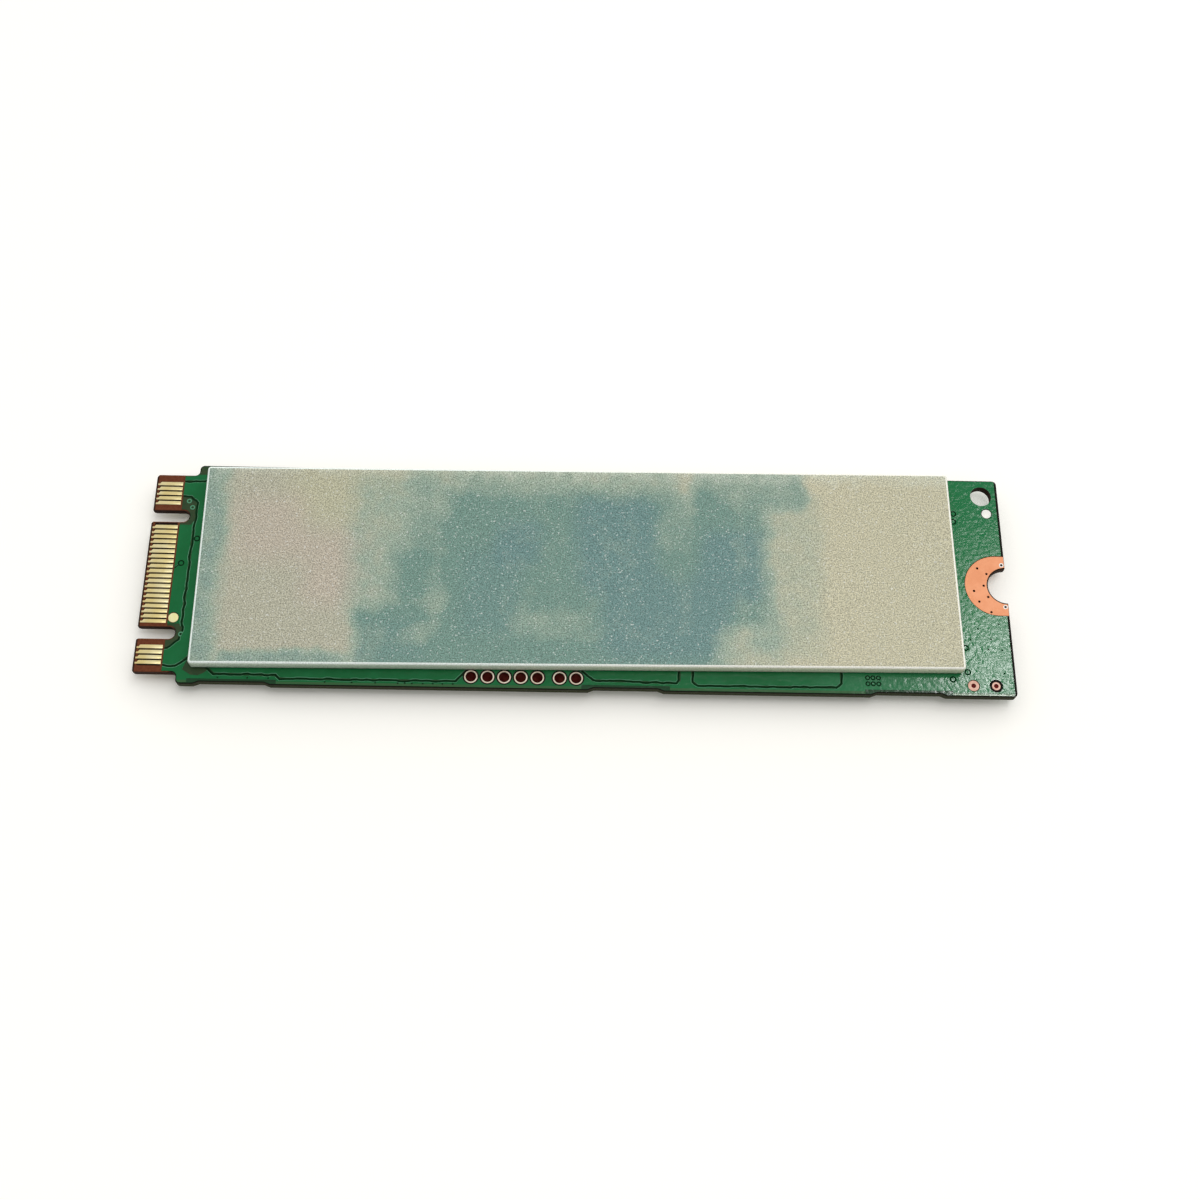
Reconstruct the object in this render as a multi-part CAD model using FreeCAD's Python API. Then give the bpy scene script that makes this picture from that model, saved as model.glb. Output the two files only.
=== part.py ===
import FreeCAD, Part
import math
import os

Vector = FreeCAD.Vector
UP = Vector(0, 0, 1)

# Gumstick solid state drive, millimetres.
# +X runs from the contact tip to the screw end, +Y to the far long edge, +Z up.
# The card lies on its tall packages: the chip side faces down, the thermal pad lies on top.
# Distances "from the tip", "from the end", "from the near edge" and so on are measured on the card.

# Card
card_length = 80.0
card_width = 22.0
laminate_thickness = 0.72
card_corner_radius = 0.4

# Contact tongue
tongue_length = 4.0
tongue_width = 19.85
shoulder_fillet = 0.45
tip_corner_radius = 0.25
tip_bevel_length = 0.25
tip_bevel_depth = 0.2
key_width = 1.2
key_depth = 3.5
key_mouth_radius = 0.12

# Contacts: pin numbers run from the far edge to the near edge
pin_pitch = 0.25
middle_pin = 38
key_pins = (15.5, 62.5)
pad_side_pins = (*range(2, 12, 2), *range(20, 60, 2), *range(68, 76, 2))
chip_side_pins = (*range(1, 13, 2), *range(21, 59, 2), *range(67, 77, 2))
contact_width = 0.35
contact_start = 0.51
contact_end = 2.55
neck_start = 0.22
neck_width = 0.17
neck_slope = 0.12

# Copper and solder mask
copper_thickness = 0.04
mask_thickness = 0.03
pour_rise = 0.035
mask_edge_gap = 0.1
mask_contact_gap = 0.15
mask_land_gap = 0.06
pour_gap_width = 0.2

# Lines between copper areas round the keys: points from the tip, and from the key's middle
far_key_line = ((3.5, 2.05), (4.13, 1.4), (4.15, 0.0), (4.03, -1.2))
near_key_line = ((4.0, 0.8), (4.1, 0.25), (3.9, -0.65), (2.9, -1.52))
far_key_field = ((3.75, -0.9), (4.1, -0.3), (4.08, 1.4), (3.45, 2.0))
near_key_field = ((2.9, -1.48), (3.88, -0.6), (4.05, 0.25), (3.8, 0.9))

# Lines and bare fields beside the long edges: points from the tip, and from that edge
far_pour_line = ((2.7, 1.71), (6.0, 1.71))
corner_pour_line = ((2.7, 1.75), (3.25, 1.62), (3.87, 1.7), (4.3, 1.95), (5.4, 3.1))
first_pour_line = ((6.6, 1.7), (7.36, 0.99), (12.86, 0.93), (13.32, 0.62), (29.1, 0.64), (30.2, 2.0))
second_pour_line = ((40.3, 2.0), (41.45, 0.95), (49.0, 0.8), (49.27, 1.1), (49.27, 2.2))
third_pour_line = ((50.45, 2.2), (50.47, 0.98), (50.91, 0.6), (63.5, 0.63), (63.97, 1.05), (63.97, 2.2))
far_shoulder_field = ((3.6, 1.0), (4.9, 1.0), (4.9, 0.0), (3.6, 0.0))
pad_corner_field = ((4.5, 1.35), (5.3, 0.84), (6.0, 0.8), (6.5, 1.05), (6.9, 1.45), (6.9, 2.6), (5.0, 2.6))

# Breakaway tabs on the near edge, left as shallow recesses
first_tab_from_tip = 9.0
middle_tab_from_tip = 44.4
last_tab_from_end = 9.9
tab_length = 5.8
tab_slope = 0.55
tab_depth = 0.22
tab_clear_length = 8.0
tab_clear_depth = 0.5

# Screw end
screw_notch_radius = 1.75
screw_land_radius = 3.0
screw_land_from_end = 0.9
screw_land_edge_gap = 0.05
screw_via_radius = 0.085
inner_via_circle = 2.15
inner_via_angles = (98, 146, 180, 212, 262)
outer_via_circle = 3.15
outer_via_angles = (146, 190, 211, 238)
tooling_hole_radius = 1.0
tooling_hole_from_end = 1.62
tooling_hole_from_far_edge = 1.7

# Fiducial dots: a pair on each side
fiducial_radius = 0.46
end_fiducial_from_end = 1.23
end_fiducial_from_far_edge = 3.53
tip_fiducial_from_tip = 3.18
tip_fiducial_y = -4.65

# Small round forms are drawn with this many sides, the vias with fewer
round_sides = 10
via_sides = 6

# Plated holes
plating = 0.03
header_hole_radius = 0.49
header_ring_radius = 0.65
header_from_near_edge = 1.12
header_first_from_tip = 30.43
header_pitch = 1.5
header_break = 2.0
header_counts = (5, 2)
test_hole_radius = 0.21
test_from_near_edge = 1.04
wide_test_ring_radius = 0.51
wide_test_from_end = 3.96
small_test_ring_radius = 0.39
small_test_from_end = 1.89

# Thermal pad
pad_length = 70.0
pad_width = 19.8
pad_thickness = 1.25
pad_corner_radius = 0.3
pad_offset_x = 0.1
pad_offset_y = 0.73
pad_turn = 0.54

# Ball grid packages on the chip side
package_height = 1.2
ball_height = 0.25
ball_width = 0.42
ball_sides = 6
substrate_height = 0.26
connector_zone = 13.5
screw_zone = 11.8
mark_radius = 0.45
mark_depth = 0.05
mark_from_edge = 1.1
controller_length = 11.0
controller_width = 11.0
controller_cap_margin = 0.7
controller_cap_draft = 0.18
controller_ball_pitch = 1.27
controller_balls_per_side = 8
buffer_length = 8.0
buffer_width = 13.0
buffer_height = 1.1
buffer_ball_pitch = 1.2
buffer_ball_rows = 9
buffer_ball_span = 6.4
buffer_offset_y = 1.0
flash_length = 12.0
flash_width = 18.0
flash_ball_pitch = 1.5
flash_ball_rows = 10
flash_ball_span = 9.0

# Two-ended parts: length, width, height and length of one end terminal
inductor_size = (2.5, 2.0, 1.0, 0.5)
large_capacitor_size = (2.0, 1.25, 0.85, 0.4)
small_capacitor_size = (1.0, 0.5, 0.5, 0.22)
resistor_size = (1.0, 0.5, 0.35, 0.2)
terminal_wrap = 0.02
joint_reach = 0.25
joint_rise_share = 0.6

# Power chip with flush leads, regulator with bent leads, oscillator
power_chip_side = 4.0
power_chip_height = 0.75
power_lead_pitch = 0.65
power_leads_per_side = 4
power_lead_width = 0.3
power_lead_length = 0.4
power_lead_height = 0.2
power_chip_lift = 0.03
regulator_length = 2.9
regulator_width = 1.6
regulator_height = 1.05
regulator_lift = 0.1
regulator_draft = 0.1
regulator_lead_width = 0.4
regulator_lead_pitch = 0.95
regulator_lead_reach = 0.6
regulator_lead_thickness = 0.15
regulator_foot = 0.35
oscillator_length = 2.5
oscillator_width = 2.0
oscillator_base_height = 0.5
oscillator_lid_height = 0.12
oscillator_lid_margin = 0.14
oscillator_foot_length = 0.7
oscillator_foot_width = 0.6

# Rows of small parts
row_gap = 0.5
first_column_from_tip = 6.1
first_column_edge_margin = 2.2
second_column_from_tip = 9.1
second_column_edge_margin = 0.7
third_column_from_tip = 12.35
third_column_span = (-3.5, -1.0)
package_column_span = (-6.0, 6.0)
screw_column_gap = 1.9
screw_column_span = (-7.0, 7.0)

# Levels
film = mask_thickness + pour_rise
chip_face = package_height
laminate_bottom = chip_face + film
laminate_top = laminate_bottom + laminate_thickness
pad_face = laminate_top + film

# Edges of the card
tip = -card_length / 2
end = card_length / 2
near = -card_width / 2
far = card_width / 2


def box(x0, x1, y0, y1, z0, z1):
    return Part.makeBox(x1 - x0, y1 - y0, z1 - z0, Vector(x0, y0, z0))


def centred_box(x, y, length, width, z0, z1):
    return box(x - length / 2, x + length / 2, y - width / 2, y + width / 2, z0, z1)


def disc(x, y, radius, z0, z1):
    return Part.makeCylinder(radius, z1 - z0, Vector(x, y, z0))


def slab(points, z0, z1):
    corners = [Vector(x, y, z0) for x, y in points]
    return Part.Face(Part.makePolygon(corners + corners[:1])).extrude(UP * (z1 - z0))


def sided_disc(x, y, radius, sides, z0, z1):
    turns = [2 * math.pi * i / sides for i in range(sides)]
    return slab([(x + radius * math.cos(turn), y + radius * math.sin(turn)) for turn in turns], z0, z1)


def bar(profile, width):
    # A profile of (x, z) points, drawn out evenly to both sides of the XZ plane
    corners = [Vector(x, -width / 2, z) for x, z in profile]
    return Part.Face(Part.makePolygon(corners + corners[:1])).extrude(Vector(0, width, 0))


def strip(points, width, z0, z1):
    # A band of even width along a line of points, with mitred corners
    line = [Vector(x, y, 0) for x, y in points]
    runs = [(b - a).normalize() for a, b in zip(line, line[1:])]
    sides = [Vector(-run.y, run.x, 0) for run in runs]
    left = []
    right = []
    for i, point in enumerate(line):
        before = sides[max(i - 1, 0)]
        after = sides[min(i, len(sides) - 1)]
        mitre = (before + after) * (width / 2 / (1 + before.dot(after)))
        left.append(point + mitre)
        right.append(point - mitre)
    around = left + right[::-1]
    return slab([(p.x, p.y) for p in around], z0, z1)


def drawn_in(corners, inset):
    # Corners (x, y, radius) of an anticlockwise outline, moved inwards by inset
    moved = []
    for i, (x, y, radius) in enumerate(corners):
        here = Vector(x, y, 0)
        into = (here - Vector(*corners[i - 1][:2], 0)).normalize()
        away = (Vector(*corners[(i + 1) % len(corners)][:2], 0) - here).normalize()
        side_in = Vector(-into.y, into.x, 0)
        side_out = Vector(-away.y, away.x, 0)
        spot = here + (side_in + side_out) * (inset / (1 + side_in.dot(side_out)))
        convex = into.cross(away).z > 0
        moved.append((spot.x, spot.y, max(radius - inset, 0) if convex else radius + inset))
    return moved


def rounded_slab(corners, z0, z1):
    # A slab whose outline turns each corner (x, y, radius) on an arc
    stops = []
    for i, (x, y, radius) in enumerate(corners):
        here = Vector(x, y, z0)
        back = (Vector(*corners[i - 1][:2], z0) - here).normalize()
        ahead = (Vector(*corners[(i + 1) % len(corners)][:2], z0) - here).normalize()
        half_angle = back.getAngle(ahead) / 2
        reach = radius / math.tan(half_angle)
        bisector = (back + ahead).normalize()
        middle = here + bisector * (radius / math.sin(half_angle) - radius)
        stops.append((here + back * reach, middle, here + ahead * reach))
    edges = []
    for i, (start, middle, stop) in enumerate(stops):
        last_stop = stops[i - 1][2]
        if (start - last_stop).Length > 1e-6:
            edges.append(Part.LineSegment(last_stop, start).toShape())
        if (stop - start).Length > 1e-6:
            edges.append(Part.Arc(start, middle, stop).toShape())
    return Part.Face(Part.Wire(edges)).extrude(UP * (z1 - z0))


def joined(shapes):
    first = shapes[0]
    return first.fuse(shapes[1:]).removeSplitter() if len(shapes) > 1 else first


def spread(sizes, low, high):
    # Centres of parts of the given sizes, with even gaps from low to high
    gap = (high - low - sum(sizes)) / (len(sizes) - 1)
    centres = []
    edge = low
    for size in sizes:
        centres.append(edge + size / 2)
        edge += size + gap
    return centres


def pin_y(pin):
    return (middle_pin - pin) * pin_pitch


# Places that the laminate, the masks and the plated parts share
header_y = near + header_from_near_edge
header_places = []
header_x = tip + header_first_from_tip
for count in header_counts:
    header_places += [(header_x + i * header_pitch, header_y) for i in range(count)]
    header_x += (count - 1) * header_pitch + header_break
wide_test_place = (end - wide_test_from_end, near + test_from_near_edge)
small_test_place = (end - small_test_from_end, near + test_from_near_edge)
tooling_place = (end - tooling_hole_from_end, far - tooling_hole_from_far_edge)
screw_land_x = end - screw_land_from_end
end_fiducial = (end - end_fiducial_from_end, far - end_fiducial_from_far_edge)
tip_fiducial = (tip + tip_fiducial_from_tip, tip_fiducial_y)
mask_start = tip + contact_end + mask_contact_gap
far_key_y, near_key_y = [pin_y(pin) for pin in key_pins]
tab_places = (tip + first_tab_from_tip, tip + middle_tab_from_tip, end - last_tab_from_end)
plated_holes = [(place, header_hole_radius, header_ring_radius) for place in header_places]
plated_holes.append((wide_test_place, test_hole_radius, wide_test_ring_radius))
plated_holes.append((small_test_place, test_hole_radius, small_test_ring_radius))


def tab_recess(x):
    half = tab_length / 2
    floor = near + tab_depth
    return [
        (x - half - tab_slope, near, 0),
        (x - half, floor, 0),
        (x + half, floor, 0),
        (x + half + tab_slope, near, 0),
    ]


def key_notch(y):
    half = key_width / 2
    return [
        (tip, y + half, key_mouth_radius),
        (tip + key_depth, y + half, half),
        (tip + key_depth, y - half, half),
        (tip, y - half, key_mouth_radius),
    ]


def card_blank(inset, z0, z1):
    # The card's outline drawn in by inset, with key notches, tab recesses and screw notch
    shoulder = tip + tongue_length
    tongue_side = tongue_width / 2
    corners = [(tip, -tongue_side, tip_corner_radius), (shoulder, -tongue_side, shoulder_fillet)]
    corners.append((shoulder, near, card_corner_radius))
    for x in tab_places:
        corners += tab_recess(x)
    corners += [(end, near, card_corner_radius), (end, far, card_corner_radius)]
    corners += [(shoulder, far, card_corner_radius), (shoulder, tongue_side, shoulder_fillet)]
    corners.append((tip, tongue_side, tip_corner_radius))
    for y in (far_key_y, near_key_y):
        corners += key_notch(y)
    blank = rounded_slab(drawn_in(corners, inset), z0, z1)
    return blank.cut(disc(end, 0, screw_notch_radius + inset, z0, z1))


def screw_vias(z0, z1):
    vias = []
    for circle, angles in ((inner_via_circle, inner_via_angles), (outer_via_circle, outer_via_angles)):
        for angle in angles:
            x = end + circle * math.cos(math.radians(angle))
            y = circle * math.sin(math.radians(angle))
            vias.append(sided_disc(x, y, screw_via_radius, via_sides, z0, z1))
    return vias


def make_laminate():
    blank = card_blank(0, laminate_bottom, laminate_top)
    cuts = []
    for place, hole, ring in plated_holes:
        cuts.append(sided_disc(*place, hole + plating, round_sides, laminate_bottom, laminate_top))
    cuts.append(disc(*tooling_place, tooling_hole_radius, laminate_bottom, laminate_top))
    for face, way in ((laminate_bottom, 1), (laminate_top, -1)):
        inner = face + way * tip_bevel_depth
        bevel = bar([(tip, face), (tip + tip_bevel_length, face), (tip, inner)], card_width)
        cuts.append(bevel)
    return blank.cut(cuts)


def contact(pin, z0, z1):
    y0 = pin_y(pin) - contact_width / 2
    y1 = y0 + contact_width
    neck_y = y0 + neck_width
    start = tip + contact_start
    outline = [
        (tip + neck_start, y0),
        (tip + contact_end, y0),
        (tip + contact_end, y1),
        (start, y1),
        (start - neck_slope, neck_y),
        (tip + neck_start, neck_y),
    ]
    return slab(outline, z0, z1)


def screw_land(margin, z0, z1):
    # The land's outline, grown by margin: a disc run straight out to the card's end
    radius = screw_land_radius + margin
    outer = end - screw_land_edge_gap + margin
    disc_part = disc(screw_land_x, 0, radius, z0, z1)
    run_out = box(screw_land_x, outer, -radius, radius, z0, z1)
    beyond = box(outer, end + screw_land_radius, -2 * radius, 2 * radius, z0, z1)
    return joined([disc_part, run_out]).cut(beyond)


def dot(x, y, z0, z1):
    return sided_disc(x, y, fiducial_radius, round_sides, z0, z1)


def make_screw_land(z0, z1):
    notch = disc(end, 0, screw_notch_radius, z0, z1)
    return screw_land(0, z0, z1).cut([notch] + screw_vias(z0, z1))


def make_barrel(place, hole, ring):
    # A plated tube through the laminate with a ring on each face
    low = laminate_bottom - copper_thickness
    high = laminate_top + copper_thickness
    rings = [
        sided_disc(*place, ring, round_sides, low, laminate_bottom),
        sided_disc(*place, ring, round_sides, laminate_top, high),
    ]
    tube = sided_disc(*place, hole + plating, round_sides, low, high)
    return joined([tube] + rings).cut(sided_disc(*place, hole, round_sides, low, high))


def mask_film(z0, z1):
    # The mask's outline, short of the contacts, the card's edges and the bare metal
    cuts = [box(tip, mask_start, near, far, z0, z1)]
    for place, hole, ring in plated_holes:
        cuts.append(sided_disc(*place, ring + mask_land_gap, round_sides, z0, z1))
    for place in (end_fiducial, tip_fiducial):
        cuts.append(sided_disc(*place, fiducial_radius + mask_land_gap, round_sides, z0, z1))
    cuts.append(disc(*tooling_place, tooling_hole_radius, z0, z1))
    cuts.append(screw_land(mask_land_gap, z0, z1))
    return card_blank(mask_edge_gap, z0, z1).cut(cuts)


def set_at(points, edge_y, way=1):
    # Points given from the tip and from a line across the card, moved to their place
    return [(tip + along, edge_y + way * across) for along, across in points]


def pour_gaps(z0, z1):
    # Narrow gaps between copper areas, seen as sunk lines beside the thermal pad
    round_keys = set_at(far_key_line, far_key_y) + set_at(near_key_line, near_key_y)
    key_line = [(mask_start, round_keys[0][1])] + round_keys + [(mask_start, round_keys[-1][1])]
    lines = [key_line, set_at(far_pour_line, far, -1)]
    for points in (corner_pour_line, first_pour_line, second_pour_line, third_pour_line):
        lines.append(set_at(points, near))
    return [strip(line, pour_gap_width, z0, z1) for line in lines]


def key_field(points, key_y, z0, z1):
    # Bare laminate between a key notch and the line round it
    inner = set_at(points, key_y)
    return slab([(tip, inner[0][1])] + inner + [(tip, inner[-1][1])], z0, z1)


def bare_fields(z0, z1):
    # Places with no copper under the mask: round the key notches, two corners and the tabs
    fields = [
        key_field(far_key_field, far_key_y, z0, z1),
        key_field(near_key_field, near_key_y, z0, z1),
        slab(set_at(far_shoulder_field, far, -1), z0, z1),
        slab(set_at(pad_corner_field, near), z0, z1),
    ]
    tab_clear_y = near + tab_clear_depth / 2
    for x in tab_places:
        fields.append(centred_box(x, tab_clear_y, tab_clear_length, tab_clear_depth, z0, z1))
    return fields


def make_pad_side_mask():
    sunk = laminate_top + mask_thickness
    film_body = mask_film(laminate_top, pad_face)
    return film_body.cut(pour_gaps(sunk, pad_face) + bare_fields(sunk, pad_face))


def make_thermal_pad():
    x = pad_length / 2
    y = pad_width / 2
    radius = pad_corner_radius
    corners = [(-x, -y, radius), (x, -y, radius), (x, y, radius), (-x, y, radius)]
    pad = rounded_slab(corners, pad_face, pad_face + pad_thickness)
    pad.rotate(Vector(0, 0, 0), UP, pad_turn)
    pad.translate(Vector(pad_offset_x, pad_offset_y, 0))
    return pad


def hung(shape, x, y, turned=False):
    # Set a part that is drawn upright about the origin under the chip side, at x and y
    if turned:
        shape.rotate(Vector(0, 0, 0), UP, 90)
    shape.rotate(Vector(0, 0, 0), Vector(1, 0, 0), 180)
    shape.translate(Vector(x, y, chip_face))
    return shape


def ball(x, y):
    return sided_disc(x, y, ball_width / 2, ball_sides, 0, ball_height)


def ring_of_balls(per_side, pitch):
    first = -(per_side - 1) * pitch / 2
    line = [first + i * pitch for i in range(per_side)]
    edge_values = (line[0], line[-1])
    return [ball(x, y) for x in line for y in line if x in edge_values or y in edge_values]


def columns_of_balls(rows, pitch, span):
    first = -(rows - 1) * pitch / 2
    return [ball(x, first + i * pitch) for x in (-span / 2, span / 2) for i in range(rows)]


def first_pin_mark(length, width, height):
    x = -length / 2 + mark_from_edge
    y = -width / 2 + mark_from_edge
    return sided_disc(x, y, mark_radius, round_sides, height - mark_depth, height)


def tapered_block(length, width, z0, z1, draft):
    wires = []
    for z, inset in ((z0, 0), (z1, draft)):
        x = length / 2 - inset
        y = width / 2 - inset
        corners = [Vector(-x, -y, z), Vector(x, -y, z), Vector(x, y, z), Vector(-x, y, z)]
        wires.append(Part.makePolygon(corners + corners[:1]))
    return Part.makeLoft(wires, True, True)


def ball_grid_package(name, x, y, length, width, height, balls, cap_margin=0, cap_draft=0):
    cap_base = ball_height + substrate_height
    substrate = centred_box(0, 0, length, width, ball_height, cap_base)
    cap_length = length - 2 * cap_margin
    cap_width = width - 2 * cap_margin
    cap = tapered_block(cap_length, cap_width, cap_base, height, cap_draft)
    cap = cap.cut(first_pin_mark(cap_length, cap_width, height))
    return {
        name + "_substrate": hung(substrate, x, y),
        name + "_cap": hung(cap, x, y),
        name + "_solder_balls": hung(Part.makeCompound(balls), x, y),
    }


def joint_plate(inner, outer, edge, rise, width):
    # Solder on a land from inner to outer, with a ramp up the face at edge
    profile = [(inner, -film), (outer, -film), (edge, rise), (edge, 0), (inner, 0)]
    return bar(profile, width)


def quarter_turns(shape, count):
    turns = []
    for i in range(count):
        copy = shape.copy()
        copy.rotate(Vector(0, 0, 0), UP, i * 360 / count)
        turns.append(copy)
    return turns


def mask_window(length, width):
    return centred_box(0, 0, length + 2 * mask_land_gap, width + 2 * mask_land_gap, -film, 0)


def two_ended_part(size, x, y, turned):
    length, width, height, terminal = size
    half = length / 2
    inner = half - terminal
    body = centred_box(0, 0, 2 * inner, width - 2 * terminal_wrap, terminal_wrap, height - terminal_wrap)
    end_x = half - terminal / 2
    ends = [centred_box(place, 0, terminal, width, 0, height) for place in (end_x, -end_x)]
    joint = joint_plate(inner, half + joint_reach, half, height * joint_rise_share, width)
    window = mask_window(length + 2 * joint_reach, width)
    return {
        "bodies": [hung(body, x, y, turned)],
        "terminals": [hung(shape, x, y, turned) for shape in ends],
        "joints": [hung(shape, x, y, turned) for shape in quarter_turns(joint, 2)],
        "windows": [hung(window, x, y, turned)],
    }


def power_chip(x, y):
    half = power_chip_side / 2
    span = (power_leads_per_side - 1) * power_lead_pitch
    inner = half - power_lead_length
    reach = half + joint_reach
    lead = box(inner, half, -power_lead_width / 2, power_lead_width / 2, 0, power_lead_height)
    joint = joint_plate(inner, reach, half, power_lead_height * joint_rise_share, power_lead_width)
    leads = []
    joints = []
    for i in range(power_leads_per_side):
        shift = Vector(0, i * power_lead_pitch - span / 2, 0)
        leads += quarter_turns(lead.translated(shift), 4)
        joints += quarter_turns(joint.translated(shift), 4)
    body = centred_box(0, 0, power_chip_side, power_chip_side, power_chip_lift, power_chip_height)
    body = body.cut(leads + [first_pin_mark(power_chip_side, power_chip_side, power_chip_height)])
    return {
        "bodies": [hung(body, x, y)],
        "terminals": [hung(shape, x, y) for shape in leads],
        "joints": [hung(shape, x, y) for shape in joints],
        "windows": [hung(mask_window(2 * reach, 2 * reach), x, y)],
    }


def regulator(x, y):
    half = regulator_width / 2
    middle = (regulator_lift + regulator_height) / 2
    thick = regulator_lead_thickness
    toe = half + regulator_lead_reach
    heel = toe - regulator_foot
    lead_top = middle + thick / 2
    lead_low = middle - thick / 2
    profile = [(half, lead_low), (heel - thick, lead_low), (heel - thick, 0), (toe, 0)]
    profile += [(toe, thick), (heel, thick), (heel, lead_top), (half, lead_top)]
    lead = bar(profile, regulator_lead_width)
    pad = bar([(heel - thick, -film), (toe, -film), (toe, 0), (heel - thick, 0)], regulator_lead_width)
    lower = tapered_block(regulator_length - 2 * regulator_draft, 2 * (half - regulator_draft),
                          regulator_lift, middle, -regulator_draft)
    upper = tapered_block(regulator_length, 2 * half, middle, regulator_height, regulator_draft)
    three_leads = (-regulator_lead_pitch, 0, regulator_lead_pitch)
    two_leads = (-regulator_lead_pitch, regulator_lead_pitch)
    sides = [(along, 90) for along in three_leads] + [(along, -90) for along in two_leads]
    leads = []
    pads = []
    for along, angle in sides:
        for shape, group in ((lead, leads), (pad, pads)):
            copy = shape.copy()
            copy.rotate(Vector(0, 0, 0), UP, angle)
            copy.translate(Vector(along, 0, 0))
            group.append(copy)
    return {
        "bodies": [hung(joined([lower, upper]), x, y)],
        "terminals": [hung(shape, x, y) for shape in leads],
        "joints": [hung(shape, x, y) for shape in pads],
        "windows": [hung(mask_window(regulator_length, 2 * toe), x, y)],
    }


def oscillator(x, y):
    base = centred_box(0, 0, oscillator_length, oscillator_width, 0, oscillator_base_height)
    lid = centred_box(0, 0, oscillator_length - 2 * oscillator_lid_margin,
                      oscillator_width - 2 * oscillator_lid_margin,
                      oscillator_base_height, oscillator_base_height + oscillator_lid_height)
    feet = []
    for side_x in (-1, 1):
        for side_y in (-1, 1):
            foot_x = side_x * (oscillator_length - oscillator_foot_length) / 2
            foot_y = side_y * (oscillator_width - oscillator_foot_width) / 2
            feet.append(centred_box(foot_x, foot_y, oscillator_foot_length, oscillator_foot_width, -film, 0))
    return {
        "bodies": [hung(base, x, y)],
        "terminals": [hung(lid, x, y)],
        "joints": [hung(shape, x, y) for shape in feet],
        "windows": [hung(mask_window(oscillator_length, oscillator_width), x, y)],
    }


def place_packages():
    lengths = (controller_length, buffer_length, flash_length, flash_length)
    centres = spread(lengths, tip + connector_zone, end - screw_zone)
    controller_x, buffer_x, flash_1_x, flash_2_x = centres
    nodes = ball_grid_package(
        "controller", controller_x, 0, controller_length, controller_width, package_height,
        ring_of_balls(controller_balls_per_side, controller_ball_pitch),
        controller_cap_margin, controller_cap_draft)
    nodes.update(ball_grid_package(
        "buffer_memory", buffer_x, buffer_offset_y, buffer_length, buffer_width, buffer_height,
        columns_of_balls(buffer_ball_rows, buffer_ball_pitch, buffer_ball_span)))
    for name, x in (("flash_1", flash_1_x), ("flash_2", flash_2_x)):
        nodes.update(ball_grid_package(
            name, x, 0, flash_length, flash_width, package_height,
            columns_of_balls(flash_ball_rows, flash_ball_pitch, flash_ball_span)))
    return nodes, centres


def place_small_parts(centres):
    # Rows and columns of small parts, worked out from the packages beside them
    controller_x, buffer_x, flash_1_x, flash_2_x = centres
    sizes = {
        "inductor": inductor_size,
        "large_capacitor": large_capacitor_size,
        "small_capacitor": small_capacitor_size,
        "resistor": resistor_size,
    }
    groups = {kind: [] for kind in (*sizes, "power_chip", "regulator", "oscillator")}

    def add(kind, x, y, turned=False):
        if kind in sizes:
            groups[kind].append(two_ended_part(sizes[kind], x, y, turned))
        else:
            makers = {"power_chip": power_chip, "regulator": regulator, "oscillator": oscillator}
            groups[kind].append(makers[kind](x, y))

    def depth(kind, turned):
        # A part's size across the card, with its solder joints
        if kind == "power_chip":
            return power_chip_side + 2 * joint_reach
        if kind == "regulator":
            return regulator_width + 2 * regulator_lead_reach
        length, width, height, terminal = sizes[kind]
        return length + 2 * joint_reach if turned else width

    def column(x, low, high, kinds):
        turns = [kind.endswith("_turned") for kind in kinds]
        plain = [kind.removesuffix("_turned") for kind in kinds]
        places = spread([depth(kind, turned) for kind, turned in zip(plain, turns)], low, high)
        for kind, turned, y in zip(plain, turns, places):
            add(kind, x, y, turned)

    def column_inside(x, edge_margin, kinds):
        column(x, near + edge_margin, far - edge_margin, kinds)

    def row_along(x, length, y, kind, count):
        # Parts in a line along a package of the given length
        part_length = sizes[kind][0] + 2 * joint_reach
        for place in spread([part_length] * count, x - length / 2, x + length / 2):
            add(kind, place, y)

    def between(left_x, left_length, right_x, right_length):
        return (left_x + left_length / 2 + right_x - right_length / 2) / 2

    column_inside(tip + first_column_from_tip, first_column_edge_margin,
                  ["resistor"] * 3 + ["small_capacitor"] * 4 + ["large_capacitor_turned"] * 2)
    column_inside(tip + second_column_from_tip, second_column_edge_margin,
                  ["regulator"] + ["large_capacitor"] * 2 + ["power_chip"] + ["inductor"] * 3)
    column(tip + third_column_from_tip, *third_column_span, ["resistor"] * 2)

    controller_row = controller_width / 2 + row_gap + small_capacitor_size[1] / 2
    row_along(controller_x, controller_length, controller_row, "small_capacitor", 3)
    row_along(controller_x, controller_length, -controller_row, "small_capacitor", 3)
    oscillator_y = controller_row + small_capacitor_size[1] / 2 + row_gap + oscillator_width / 2
    add("oscillator", controller_x, oscillator_y)
    buffer_row = buffer_width / 2 + row_gap + large_capacitor_size[1] / 2
    row_along(buffer_x, buffer_length, buffer_offset_y + buffer_row, "large_capacitor", 2)

    gap_x = between(controller_x, controller_length, buffer_x, buffer_length)
    column(gap_x, *package_column_span, ["resistor_turned"] * 3)
    gap_x = between(buffer_x, buffer_length, flash_1_x, flash_length)
    column(gap_x, *package_column_span, ["small_capacitor_turned"] * 2)
    gap_x = between(flash_1_x, flash_length, flash_2_x, flash_length)
    column(gap_x, *package_column_span, ["small_capacitor_turned"] * 3)
    column(flash_2_x + flash_length / 2 + screw_column_gap, *screw_column_span,
           ["large_capacitor", "small_capacitor", "small_capacitor", "large_capacitor"])
    return groups


def gathered(parts, what):
    return [shape for part in parts for shape in part[what]]


def make_chip_side_mask(small_parts):
    film_body = mask_film(chip_face, laminate_bottom)
    return film_body.cut(gathered(small_parts, "windows"))


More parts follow.
